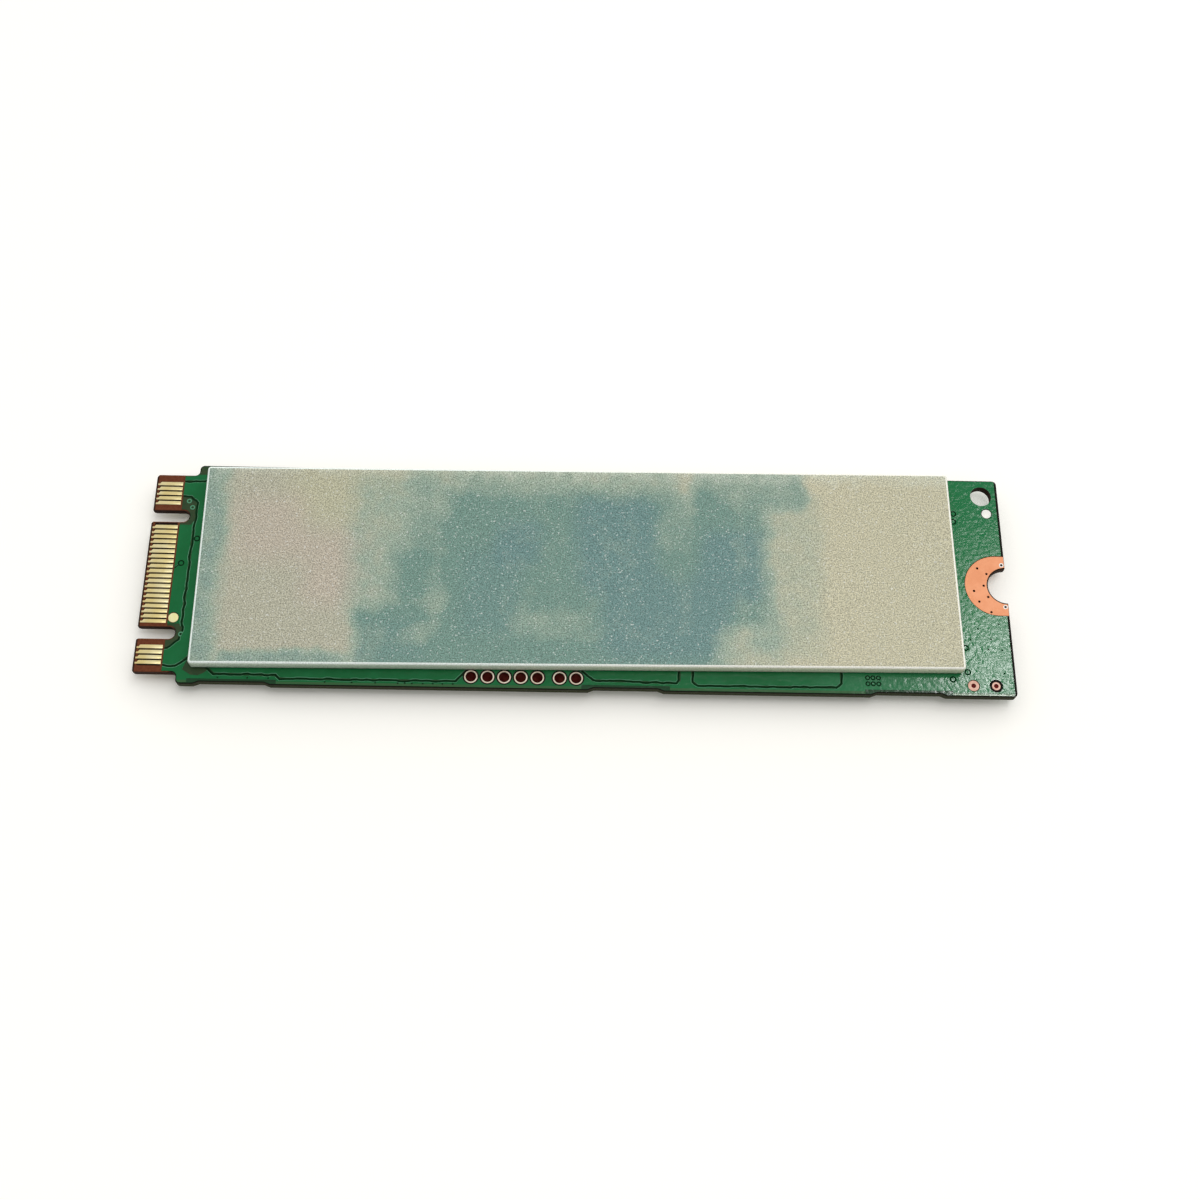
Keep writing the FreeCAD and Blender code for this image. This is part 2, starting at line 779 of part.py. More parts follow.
def build():
    nodes, centres = place_packages()
    groups = place_small_parts(centres)
    small_parts = [part for parts in groups.values() for part in parts]
    node_names = {
        "inductor": ("inductor_bodies", "inductor_terminals"),
        "large_capacitor": ("large_capacitor_bodies", "large_capacitor_terminals"),
        "small_capacitor": ("small_capacitor_bodies", "small_capacitor_terminals"),
        "resistor": ("resistor_bodies", "resistor_terminals"),
        "power_chip": ("power_chip_body", "power_chip_leads"),
        "regulator": ("regulator_body", "regulator_leads"),
        "oscillator": ("oscillator_base", "oscillator_lid"),
    }
    for kind, (body_name, terminal_name) in node_names.items():
        nodes[body_name] = Part.makeCompound(gathered(groups[kind], "bodies"))
        nodes[terminal_name] = Part.makeCompound(gathered(groups[kind], "terminals"))
    nodes["solder_joints"] = Part.makeCompound(gathered(small_parts, "joints"))

    top = (laminate_top, laminate_top + copper_thickness)
    under = (laminate_bottom - copper_thickness, laminate_bottom)
    nodes["board_laminate"] = make_laminate()
    nodes["solder_mask_pad_side"] = make_pad_side_mask()
    nodes["solder_mask_chip_side"] = make_chip_side_mask(small_parts)
    nodes["contacts_pad_side"] = Part.makeCompound([contact(pin, *top) for pin in pad_side_pins])
    nodes["contacts_chip_side"] = Part.makeCompound([contact(pin, *under) for pin in chip_side_pins])
    nodes["screw_land_pad_side"] = make_screw_land(*top)
    nodes["screw_land_chip_side"] = make_screw_land(*under)
    barrels = [make_barrel(*hole) for hole in plated_holes]
    nodes["header_hole_barrels"] = Part.makeCompound(barrels[:len(header_places)])
    nodes["test_hole_barrels"] = Part.makeCompound(barrels[len(header_places):])
    places = (end_fiducial, tip_fiducial)
    nodes["fiducials_pad_side"] = Part.makeCompound([dot(*place, *top) for place in places])
    nodes["fiducials_chip_side"] = Part.makeCompound([dot(*place, *under) for place in places])
    nodes["thermal_pad"] = make_thermal_pad()
    return nodes


os.makedirs("parts", exist_ok=True)
for node_name, node_shape in build().items():
    node_shape.exportStep("parts/" + node_name + ".step")
    print(node_name, len(node_shape.Solids), round(node_shape.Volume, 3))
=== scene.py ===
import math
import bmesh
import bpy
from mathutils import Matrix, Vector, noise


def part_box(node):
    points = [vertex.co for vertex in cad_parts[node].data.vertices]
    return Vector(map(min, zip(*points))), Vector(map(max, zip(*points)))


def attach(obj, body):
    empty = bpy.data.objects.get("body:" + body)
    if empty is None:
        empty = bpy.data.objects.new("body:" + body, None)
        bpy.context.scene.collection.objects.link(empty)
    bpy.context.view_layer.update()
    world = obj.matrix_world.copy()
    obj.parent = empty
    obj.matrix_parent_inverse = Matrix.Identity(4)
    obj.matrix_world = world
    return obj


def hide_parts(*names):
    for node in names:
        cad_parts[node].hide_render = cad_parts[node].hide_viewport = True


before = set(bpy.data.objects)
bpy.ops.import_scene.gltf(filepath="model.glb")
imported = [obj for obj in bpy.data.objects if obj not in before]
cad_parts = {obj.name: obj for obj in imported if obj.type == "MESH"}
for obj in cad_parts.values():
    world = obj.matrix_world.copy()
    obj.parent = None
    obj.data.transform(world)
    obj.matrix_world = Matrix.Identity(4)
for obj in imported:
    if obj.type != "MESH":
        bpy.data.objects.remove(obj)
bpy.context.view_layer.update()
mm = 0.001

# distances under which points count as one, in millimetres
tolerance = {"cad": 0.001, "cutter": 0.0005, "sliver": 0.0004}

# levels read from the solids, in millimetres
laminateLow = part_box("board_laminate")[0].z / mm
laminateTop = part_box("board_laminate")[1].z / mm
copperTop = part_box("contacts_pad_side")[1].z / mm
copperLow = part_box("contacts_chip_side")[0].z / mm
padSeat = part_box("thermal_pad")[0].z / mm
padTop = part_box("thermal_pad")[1].z / mm
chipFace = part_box("solder_mask_chip_side")[0].z / mm
print("frame loaded:", len(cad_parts), "nodes")


# mesh helpers: sizes are given in millimetres

def addObject(name, data):
    made = bpy.data.objects.new(name, data)
    bpy.context.scene.collection.objects.link(made)
    return made


def cadCopy(nodeName):
    work = bmesh.new()
    work.from_mesh(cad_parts[nodeName].data)
    bmesh.ops.remove_doubles(work, verts=work.verts, dist=tolerance["cad"] * mm)
    bmesh.ops.dissolve_limit(work, angle_limit=math.radians(0.5), use_dissolve_boundaries=False,
                             verts=work.verts, edges=work.edges)
    return work


def bevelEdges(work, edges, width, segments):
    bmesh.ops.bevel(work, geom=edges, offset=width * mm, offset_type="OFFSET", segments=segments,
                    profile=0.5, affect="EDGES", clamp_overlap=True, material=-1)


def softenEdges(work, width, segments=2, overAngle=30):
    sharp = [e for e in work.edges if e.is_manifold and e.calc_face_angle(0) > math.radians(overAngle)]
    bevelEdges(work, sharp, width, segments)


def addPost(work, x, y, radius, low, high, sides=40):
    place = Matrix.Translation(Vector((x, y, (low + high) / 2)) * mm)
    bmesh.ops.create_cone(work, cap_ends=True, cap_tris=False, segments=sides, radius1=radius * mm,
                          radius2=radius * mm, depth=(high - low) * mm, matrix=place)


def addTurned(work, profile, x, y, steps=48):
    # a closed profile of (radius, z) spun all the way round
    verts = [work.verts.new(Vector((x + r, y, z)) * mm) for r, z in profile]
    edges = [work.edges.new((verts[i - 1], verts[i])) for i in range(len(verts))]
    bmesh.ops.spin(work, geom=verts + edges, cent=Vector((x, y, 0)) * mm, axis=(0, 0, 1), dvec=(0, 0, 0),
                   angle=2 * math.pi, steps=steps, use_merge=True, use_duplicate=False)


def addGrooves(work, lines, topWidth, lowWidth, low, high):
    # a trapezoid swept along each line of points
    section = bpy.data.curves.new("grooveSection", "CURVE")
    section.dimensions = "2D"
    outline = section.splines.new("POLY")
    corners = [(-topWidth / 2, high), (-lowWidth / 2, low), (lowWidth / 2, low), (topWidth / 2, high)]
    outline.points.add(len(corners) - 1)
    for point, (across, z) in zip(outline.points, corners):
        point.co = (across * mm, (z - low) * mm, 0, 1)
    outline.use_cyclic_u = True
    sectionObject = addObject("grooveSection", section)
    for line in lines:
        path = bpy.data.curves.new("groovePath", "CURVE")
        path.dimensions = "2D"
        path.bevel_mode = "OBJECT"
        path.bevel_object = sectionObject
        path.use_fill_caps = True
        run = path.splines.new("POLY")
        run.points.add(len(line) - 1)
        for point, (x, y) in zip(run.points, line):
            point.co = (x * mm, y * mm, 0, 1)
        pathObject = addObject("groovePath", path)
        bpy.context.view_layer.update()
        depsgraph = bpy.context.evaluated_depsgraph_get()
        swept = bpy.data.meshes.new_from_object(pathObject.evaluated_get(depsgraph))
        swept.transform(Matrix.Translation((0, 0, low * mm)))
        work.from_mesh(swept)
        bpy.data.meshes.remove(swept)
        bpy.data.objects.remove(pathObject)
        bpy.data.curves.remove(path)
    bpy.data.objects.remove(sectionObject)
    bpy.data.curves.remove(section)


def wobbled(line, step, amount, perMm=1.7, layer=0.3):
    # the line cut into short steps, each set a little to one side
    points = []
    for (x0, y0), (x1, y1) in zip(line, line[1:]):
        length = math.hypot(x1 - x0, y1 - y0)
        count = max(1, round(length / step))
        for i in range(count):
            x = x0 + (x1 - x0) * i / count
            y = y0 + (y1 - y0) * i / count
            aside = amount * noise.noise(Vector((x * perMm, y * perMm, layer)))
            points.append((x - aside * (y1 - y0) / length, y + aside * (x1 - x0) / length))
    return points + [line[-1]]


def closeUp(work):
    bmesh.ops.remove_doubles(work, verts=work.verts, dist=tolerance["cutter"] * mm)
    bmesh.ops.recalc_face_normals(work, faces=work.faces)


def looseObject(name, work):
    mesh = bpy.data.meshes.new(name)
    work.to_mesh(mesh)
    work.free()
    return addObject(name, mesh)


def carve(work, cutter, operation="DIFFERENCE"):
    body = looseObject("carveBody", work)
    tool = looseObject("carveTool", cutter)
    carving = body.modifiers.new("carve", "BOOLEAN")
    carving.operation = operation
    carving.solver = "EXACT"
    carving.object = tool
    bpy.context.view_layer.update()
    depsgraph = bpy.context.evaluated_depsgraph_get()
    carved = bpy.data.meshes.new_from_object(body.evaluated_get(depsgraph))
    result = bmesh.new()
    result.from_mesh(carved)
    bpy.data.meshes.remove(carved)
    bmesh.ops.dissolve_degenerate(result, dist=tolerance["sliver"] * mm, edges=result.edges)
    for loose in (body, tool):
        mesh = loose.data
        bpy.data.objects.remove(loose)
        bpy.data.meshes.remove(mesh)
    return result


def makePiece(name, work, coats, slotName, *nodes, sharpAngle=40, evenNormals=True, smooth=True):
    mesh = bpy.data.meshes.new(name)
    work.to_mesh(mesh)
    work.free()
    for finish in coats:
        mesh.materials.append(finish)
    if smooth:
        mesh.shade_smooth()
        mesh.set_sharp_from_angle(angle=math.radians(sharpAngle))
    else:
        mesh.shade_flat()
    piece = addObject(name, mesh)
    if evenNormals:
        weighted = piece.modifiers.new("evenNormals", "WEIGHTED_NORMAL")
        weighted.keep_sharp = True
    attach(piece, "root")
    if nodes:
        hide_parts(*nodes)
    print("piece", name, len(mesh.polygons), "faces")


# material helpers

def put(tree, kind, inputs=None, **settings):
    made = tree.nodes.new(kind)
    for key, value in settings.items():
        setattr(made, key, value)
    for key, value in (inputs or {}).items():
        if isinstance(value, bpy.types.NodeSocket):
            tree.links.new(value, made.inputs[key])
        else:
            made.inputs[key].default_value = value
    return made


def newFinish(name, **values):
    finish = bpy.data.materials.new(name)
    finish.use_nodes = True
    tree = finish.node_tree
    shader = tree.nodes["Principled BSDF"]
    sockets = {"metallic": "Metallic", "roughness": "Roughness", "specular": "Specular IOR Level"}
    for key, value in values.items():
        shader.inputs[sockets[key]].default_value = value
    where = put(tree, "ShaderNodeTexCoord").outputs["Object"]
    return finish, tree, shader, where


def grain(tree, where, perMm, detail=3.0, rough=0.55):
    made = put(tree, "ShaderNodeTexNoise", {"Vector": where, "Scale": perMm / mm,
                                            "Detail": detail, "Roughness": rough})
    return made.outputs["Fac"]


def ramp(tree, value, low, high, toLow=0.0, toHigh=1.0, smooth=True):
    made = put(tree, "ShaderNodeMapRange", {"Value": value, "From Min": low, "From Max": high,
                                            "To Min": toLow, "To Max": toHigh})
    made.interpolation_type = "SMOOTHSTEP" if smooth else "LINEAR"
    return made.outputs["Result"]


def mixColour(tree, factor, low, high):
    made = put(tree, "ShaderNodeMix", data_type="RGBA")
    for index, value in ((0, factor), (6, low), (7, high)):
        if isinstance(value, bpy.types.NodeSocket):
            tree.links.new(value, made.inputs[index])
        else:
            made.inputs[index].default_value = value if index == 0 else (*value, 1.0)
    return made.outputs[2]


def sums(tree, kind, first, second):
    return put(tree, "ShaderNodeMath", {0: first, 1: second}, operation=kind).outputs[0]


def vectors(tree, kind, first, second=(0.0, 0.0, 0.0)):
    return put(tree, "ShaderNodeVectorMath", {0: first, 1: second}, operation=kind).outputs[0]


def raised(tree, height, depth, strength=1.0, under=None):
    # depth in millimetres
    inputs = {"Height": height, "Distance": depth * mm, "Strength": strength}
    if under is not None:
        inputs["Normal"] = under
    return put(tree, "ShaderNodeBump", inputs).outputs["Normal"]


def wire(tree, shader, colour, roughness=None, normal=None):
    for socket, source in (("Base Color", colour), ("Roughness", roughness), ("Normal", normal)):
        if source is not None:
            tree.links.new(source, shader.inputs[socket])


def axesOf(tree, where):
    return put(tree, "ShaderNodeSeparateXYZ", {0: where}).outputs


# solder mask: green over copper, olive over bare laminate, a pale painted highlight on the slopes between
# them
maskLook = {
    "overCopper": (0.0033, 0.124, 0.032),
    "overCopperPale": (0.0055, 0.140, 0.040),
    "screwEnd": (0.0060, 0.158, 0.048),
    "slopeHighlight": (0.085, 0.290, 0.160),
    "overLaminate": (0.036, 0.060, 0.023),
    "tabZone": (0.010, 0.052, 0.018),
    # rim: a greyer, paler green along the mask's near edge, a painted highlight
    "rim": (0.034, 0.112, 0.038),
    # next: a much paler painted highlight on the near edge towards the screw end
    "endRimHighlight": (0.30, 0.40, 0.28),
    # next: a paler green, painted sheen on the near strip
    "sheenVeil": (0.016, 0.165, 0.058),
    "screwEndX": (31.0, 37.0),
    "tabZoneY": (-10.35, -10.45),
    "rimY": (-10.62, -10.72),
    "endRimX": (31.4, 32.2),
    "endRimY": (-10.79, -10.84),
    # a paler painted sheen comes in along x, goes out again, and keeps to the near strip
    "veilIn": (19.0, 26.0),
    "veilOut": (33.0, 36.5),
    "veilY": (-8.4, -9.2),
    "veilCalm": 0.25,
    # levels below the pad's seat between which the slope and then the flat come in
    "slopeFrom": (0.034, 0.026),
    "flatFrom": (0.006, 0.001),
    # levels above the chip side's face between which its green ends
    "chipFlat": (0.004, 0.012),
    "blotchPerMm": 0.45,
    "olivePerMm": 2.0,
    "oliveShare": 0.6,
    "peelPerMm": 2.6,
    "peelDepth": 0.0155,
    "grainPerMm": 5.0,
    "grainDepth": 0.002,
    "dullPerMm": 2.6,
    "roughness": (0.135, 0.165),
}


def makeMaskFinish():
    finish, tree, shader, where = newFinish("greenMask", specular=0.4)
    axes = axesOf(tree, where)

    def along(axis, key):
        start, end = maskLook[key]
        return ramp(tree, axes[axis], start * mm, end * mm)

    def upTo(key):
        start, end = maskLook[key]
        return ramp(tree, axes["Z"], (padSeat - start) * mm, (padSeat - end) * mm)

    blotch = ramp(tree, grain(tree, where, maskLook["blotchPerMm"], 4.0), 0.35, 0.65)
    green = mixColour(tree, blotch, maskLook["overCopper"], maskLook["overCopperPale"])
    # the mask turns paler towards the screw end
    green = mixColour(tree, along("X", "screwEndX"), green, maskLook["screwEnd"])
    # painted sheen on the near strip towards the screw end; the bumps are calmer under it
    sheenVeil = sums(tree, "MULTIPLY", along("X", "veilIn"), along("Y", "veilY"))
    sheenVeil = sums(tree, "MULTIPLY", sheenVeil, sums(tree, "SUBTRACT", 1.0, along("X", "veilOut")))
    green = mixColour(tree, sheenVeil, green, maskLook["sheenVeil"])
    # a painted highlight along the mask's near edge
    green = mixColour(tree, along("Y", "rimY"), green, maskLook["rim"])
    # a brighter painted highlight on the near edge at the screw end
    endRimHighlight = sums(tree, "MULTIPLY", along("X", "endRimX"), along("Y", "endRimY"))
    green = mixColour(tree, endRimHighlight, green, maskLook["endRimHighlight"])
    cloud = ramp(tree, grain(tree, where, maskLook["olivePerMm"], 4.0), 0.3, 0.7, 0.0, maskLook["oliveShare"])
    olive = mixColour(tree, cloud, maskLook["overLaminate"], maskLook["tabZone"])
    thin = mixColour(tree, along("Y", "tabZoneY"), olive, maskLook["tabZone"])
    # the slopes between the levels take a pale painted highlight
    colour = mixColour(tree, upTo("slopeFrom"), thin, maskLook["slopeHighlight"])
    colour = mixColour(tree, upTo("flatFrom"), colour, green)
    chipStart, chipEnd = maskLook["chipFlat"]
    chipLevel = ramp(tree, axes["Z"], (chipFace + chipStart) * mm, (chipFace + chipEnd) * mm, 1.0, 0.0)
    colour = mixColour(tree, chipLevel, colour, green)
    dull = grain(tree, where, maskLook["dullPerMm"], 2.0, 0.6)
    gloss = ramp(tree, dull, 0.35, 0.65, *maskLook["roughness"])
    rippled = sums(tree, "SUBTRACT", 1.0, sums(tree, "MULTIPLY", sheenVeil, maskLook["veilCalm"]))
    peel = raised(tree, grain(tree, where, maskLook["peelPerMm"], 1.0, 0.5), maskLook["peelDepth"], rippled)
    fine = grain(tree, where, maskLook["grainPerMm"], 1.0, 0.5)
    wire(tree, shader, colour, gloss, raised(tree, fine, maskLook["grainDepth"], rippled, peel))
    return finish


# bottoms of the grooves, rings and dots in the mask: dark green and matt, mask over bare laminate darkened
# further with painted shade
gapShadeLook = {
    "deep": (0.0012, 0.022, 0.0055),
    "pale": (0.0022, 0.032, 0.0085),
    "perMm": 1.5,
    "specular": 0.04,
    "roughness": 0.7,
}


def makeGapShadeFinish():
    finish, tree, shader, where = newFinish("maskGapShade", specular=gapShadeLook["specular"],
                                            roughness=gapShadeLook["roughness"])
    cloud = ramp(tree, grain(tree, where, gapShadeLook["perMm"], 3.0), 0.35, 0.65)
    wire(tree, shader, mixColour(tree, cloud, gapShadeLook["deep"], gapShadeLook["pale"]))
    return finish


# glass laminate: reddish brown on the bare tongue, painted shade between the contacts, on the cut sides and
# on the bare laminate past the tongue, olive along the long edges
laminateLook = {
    "tongue": (0.118, 0.030, 0.011),
    "fibre": (0.165, 0.050, 0.020),
    # next: near black, painted shade
    "edge": (0.009, 0.007, 0.004),
    "layer": (0.004, 0.003, 0.002),
    "longEdge": (0.060, 0.068, 0.027),
    "longEdgeY": (10.4, 10.5),
    # next: painted shade between the contacts
    "bedShade": (0.012, 0.005, 0.003),
    "layerPitch": 0.18,
    # middle y and half width of each row of contacts
    "beds": [(8.0, 1.17), (0.0, 4.92), (-8.375, 0.92)],
    "bedMiddle": -38.55,
    "bedHalf": 1.02,
    "bedSoft": 0.05,
    "tongueEnd": (-36.9, -36.4),
    # next: how far the cut sides go towards the painted shade
    "cutShadeShare": 0.65,
    # how far in from each face the cut edge begins
    "cutFrom": (0.012, 0.030),
    "fibrePerMm": 4.0,
    "roughness": (0.45, 0.65),
    "weavePerMm": 0.9,
    "weaveDepth": 0.004,
    "routedPerMm": 7.0,
    "routedDepth": 0.012,
}


def makeLaminateFinish():
    finish, tree, shader, where = newFinish("glassLaminate", specular=0.10)
    axes = axesOf(tree, where)

    def within(axis, middle, half):
        away = sums(tree, "ABSOLUTE", sums(tree, "SUBTRACT", axes[axis], middle * mm), 0.0)
        return ramp(tree, away, (half + laminateLook["bedSoft"]) * mm, half * mm)

    def inFrom(face, way):
        start, end = laminateLook["cutFrom"]
        return ramp(tree, axes["Z"], (face + way * start) * mm, (face + way * end) * mm)

    fibres = ramp(tree, grain(tree, where, laminateLook["fibrePerMm"], 6.0, 0.7), 0.35, 0.7)
    body = mixColour(tree, fibres, laminateLook["tongue"], laminateLook["fibre"])
    # painted shade in the beds between the contacts
    inside = None
    for middle, half in laminateLook["beds"]:
        inY = within("Y", middle, half)
        inside = inY if inside is None else sums(tree, "MAXIMUM", inside, inY)
    inX = within("X", laminateLook["bedMiddle"], laminateLook["bedHalf"])
    body = mixColour(tree, sums(tree, "MULTIPLY", inside, inX), body, laminateLook["bedShade"])
    tongueStart, tongueStop = laminateLook["tongueEnd"]
    pastTongue = ramp(tree, axes["X"], tongueStart * mm, tongueStop * mm)
    # painted shade: near black wherever the laminate lies bare past the tongue
    flat = mixColour(tree, pastTongue, body, laminateLook["edge"])
    phase = sums(tree, "MULTIPLY", sums(tree, "SUBTRACT", axes["Z"], laminateLow * mm),
                 2 * math.pi / (laminateLook["layerPitch"] * mm))
    layers = ramp(tree, sums(tree, "SINE", phase, 0.0), 0.3, 1.0, 0.0, 0.8)
    sideStart, sideEnd = laminateLook["longEdgeY"]
    atLongEdge = ramp(tree, sums(tree, "ABSOLUTE", axes["Y"], 0.0), sideStart * mm, sideEnd * mm)
    # the cut sides are darkened towards near black, painted shade
    cut = mixColour(tree, laminateLook["cutShadeShare"], body, laminateLook["edge"])
    cut = mixColour(tree, sums(tree, "MULTIPLY", atLongEdge, pastTongue), cut, laminateLook["longEdge"])
    cut = mixColour(tree, layers, cut, laminateLook["layer"])
    upright = sums(tree, "MINIMUM", inFrom(laminateTop, -1), inFrom(laminateLow, 1))
    dull = ramp(tree, fibres, 0.0, 1.0, *laminateLook["roughness"])
    weave = put(tree, "ShaderNodeTexWave", {"Vector": where, "Scale": laminateLook["weavePerMm"] / mm,
                                            "Distortion": 1.5, "Detail": 2.0},
                wave_type="BANDS", bands_direction="DIAGONAL").outputs["Fac"]
    routed = raised(tree, grain(tree, where, laminateLook["routedPerMm"], 4.0, 0.7),
                    laminateLook["routedDepth"], 0.7)
    woven = raised(tree, weave, laminateLook["weaveDepth"], 0.4, routed)
    wire(tree, shader, mixColour(tree, upright, flat, cut), dull, woven)
    return finish


# metals and the dark wells: tint, worn tint, metallic, specular, roughness, grain per millimetre, grain depth
metalLooks = {
    "contactGold": ((0.92, 0.75, 0.32), (0.98, 0.86, 0.48), 0.45, 0.5, (0.30, 0.42), 2.0, 0.0012),
    "bareCopper": ((0.88, 0.337, 0.151), (0.95, 0.394, 0.192), 0.12, 0.5, (0.50, 0.62), 2.2, 0.003),
    "headerRing": ((0.74, 0.61, 0.46), (0.90, 0.79, 0.64), 0.15, 0.5, (0.36, 0.50), 5.0, 0.003),
    "testRing": ((0.70, 0.40, 0.29), (0.82, 0.52, 0.40), 0.20, 0.5, (0.40, 0.55), 5.0, 0.003),
    "headerWall": ((0.085, 0.030, 0.018), (0.13, 0.055, 0.034), 0.0, 0.10, (0.50, 0.70), 6.0, 0.004),
    "headerWell": ((0.038, 0.0025, 0.002), (0.070, 0.010, 0.006), 0.0, 0.03, (0.50, 0.70), 6.0, 0.006),
    "testWell": ((0.150, 0.008, 0.005), (0.210, 0.014, 0.009), 0.0, 0.15, (0.50, 0.70), 6.0, 0.006),
    # next: painted shade, the dark discs in the land's via holes
    "viaWellShade": ((0.020, 0.005, 0.003), (0.034, 0.009, 0.006), 0.0, 0.02, (0.50, 0.70), 6.0, 0.004),
    "dotGold": ((0.90, 0.82, 0.36), (0.96, 0.90, 0.50), 0.10, 0.5, (0.35, 0.45), 3.0, 0.0008),
    # next: pale, on the end fiducial a painted highlight
    "paleDot": ((0.90, 0.89, 0.82), (0.98, 0.98, 0.94), 0.15, 0.5, (0.35, 0.45), 4.0, 0.0015),
    "tinEnd": ((0.70, 0.70, 0.68), (0.86, 0.86, 0.84), 1.0, 0.5, (0.24, 0.42), 3.0, 0.006),
    "solderMetal": ((0.66, 0.67, 0.67), (0.84, 0.85, 0.85), 0.55, 0.5, (0.28, 0.46), 4.0, 0.006),
    "lidMetal": ((0.62, 0.60, 0.55), (0.78, 0.76, 0.70), 1.0, 0.5, (0.26, 0.36), 1.5, 0.002),
}


def makeMetalFinish(name):
    tint, worn, metallic, specular, roughness, perMm, depth = metalLooks[name]
    finish, tree, shader, where = newFinish(name, metallic=metallic, specular=specular)
    wear = ramp(tree, grain(tree, where, perMm * 0.35, 4.0), 0.35, 0.68)
    fine = grain(tree, where, perMm, 5.0, 0.6)
    wire(tree, shader, mixColour(tree, wear, tint, worn), ramp(tree, fine, 0.3, 0.7, *roughness),
         raised(tree, fine, depth, 0.6))
    return finish


# moulded and fired bodies: dark tint, pale tint, roughness, grain per millimetre, grain depth
bodyLooks = {
    "blackEpoxy": ((0.012, 0.012, 0.013), (0.018, 0.018, 0.0195), (0.46, 0.66), 5.0, 0.010),
    "packageBoard": ((0.010, 0.030, 0.017), (0.020, 0.048, 0.027), (0.35, 0.50), 2.0, 0.006),
    "capacitorCeramic": ((0.26, 0.155, 0.075), (0.38, 0.245, 0.130), (0.34, 0.50), 3.0, 0.008),
    "inductorCore": ((0.050, 0.050, 0.053), (0.105, 0.104, 0.102), (0.50, 0.75), 6.0, 0.016),
    "oscillatorCeramic": ((0.36, 0.31, 0.25), (0.47, 0.42, 0.35), (0.42, 0.60), 4.0, 0.006),
}


def makeBodyFinish(name):
    dark, pale, roughness, perMm, depth = bodyLooks[name]
    finish, tree, shader, where = newFinish(name, specular=0.4)
    patchy = ramp(tree, grain(tree, where, perMm * 0.2, 3.0), 0.3, 0.7)
    fine = grain(tree, where, perMm, 6.0, 0.65)
    tone = mixColour(tree, patchy, dark, pale)
    specks = ramp(tree, fine, 0.52, 0.75, 0.0, 0.5)
    wire(tree, shader, mixColour(tree, specks, tone, pale), ramp(tree, fine, 0.3, 0.7, *roughness),
         raised(tree, fine, depth, 0.7))
    return finish


# resistors: white ceramic with a dark coat on the outer face
resistorLook = {
    "ceramic": (0.62, 0.61, 0.57),
    "ceramicPale": (0.74, 0.73, 0.70),
    "coat": (0.012, 0.012, 0.014),
    "coatTop": 0.93,
    "coatSoft": 0.02,
    "roughness": (0.28, 0.5),
    "grainPerMm": 6.0,
    "grainDepth": 0.006,
}


def makeResistorFinish():
    finish, tree, shader, where = newFinish("resistorCeramic", specular=0.45)
    top, soft = resistorLook["coatTop"], resistorLook["coatSoft"]
    coat = ramp(tree, axesOf(tree, where)["Z"], (top - soft) * mm, (top + soft) * mm, 1.0, 0.0)
    fine = grain(tree, where, resistorLook["grainPerMm"], 4.0)
    pale = mixColour(tree, ramp(tree, fine, 0.35, 0.7), resistorLook["ceramic"], resistorLook["ceramicPale"])
    wire(tree, shader, mixColour(tree, coat, pale, resistorLook["coat"]),
         ramp(tree, fine, 0.3, 0.7, *resistorLook["roughness"]),
         raised(tree, fine, resistorLook["grainDepth"], 0.6))
    return finish


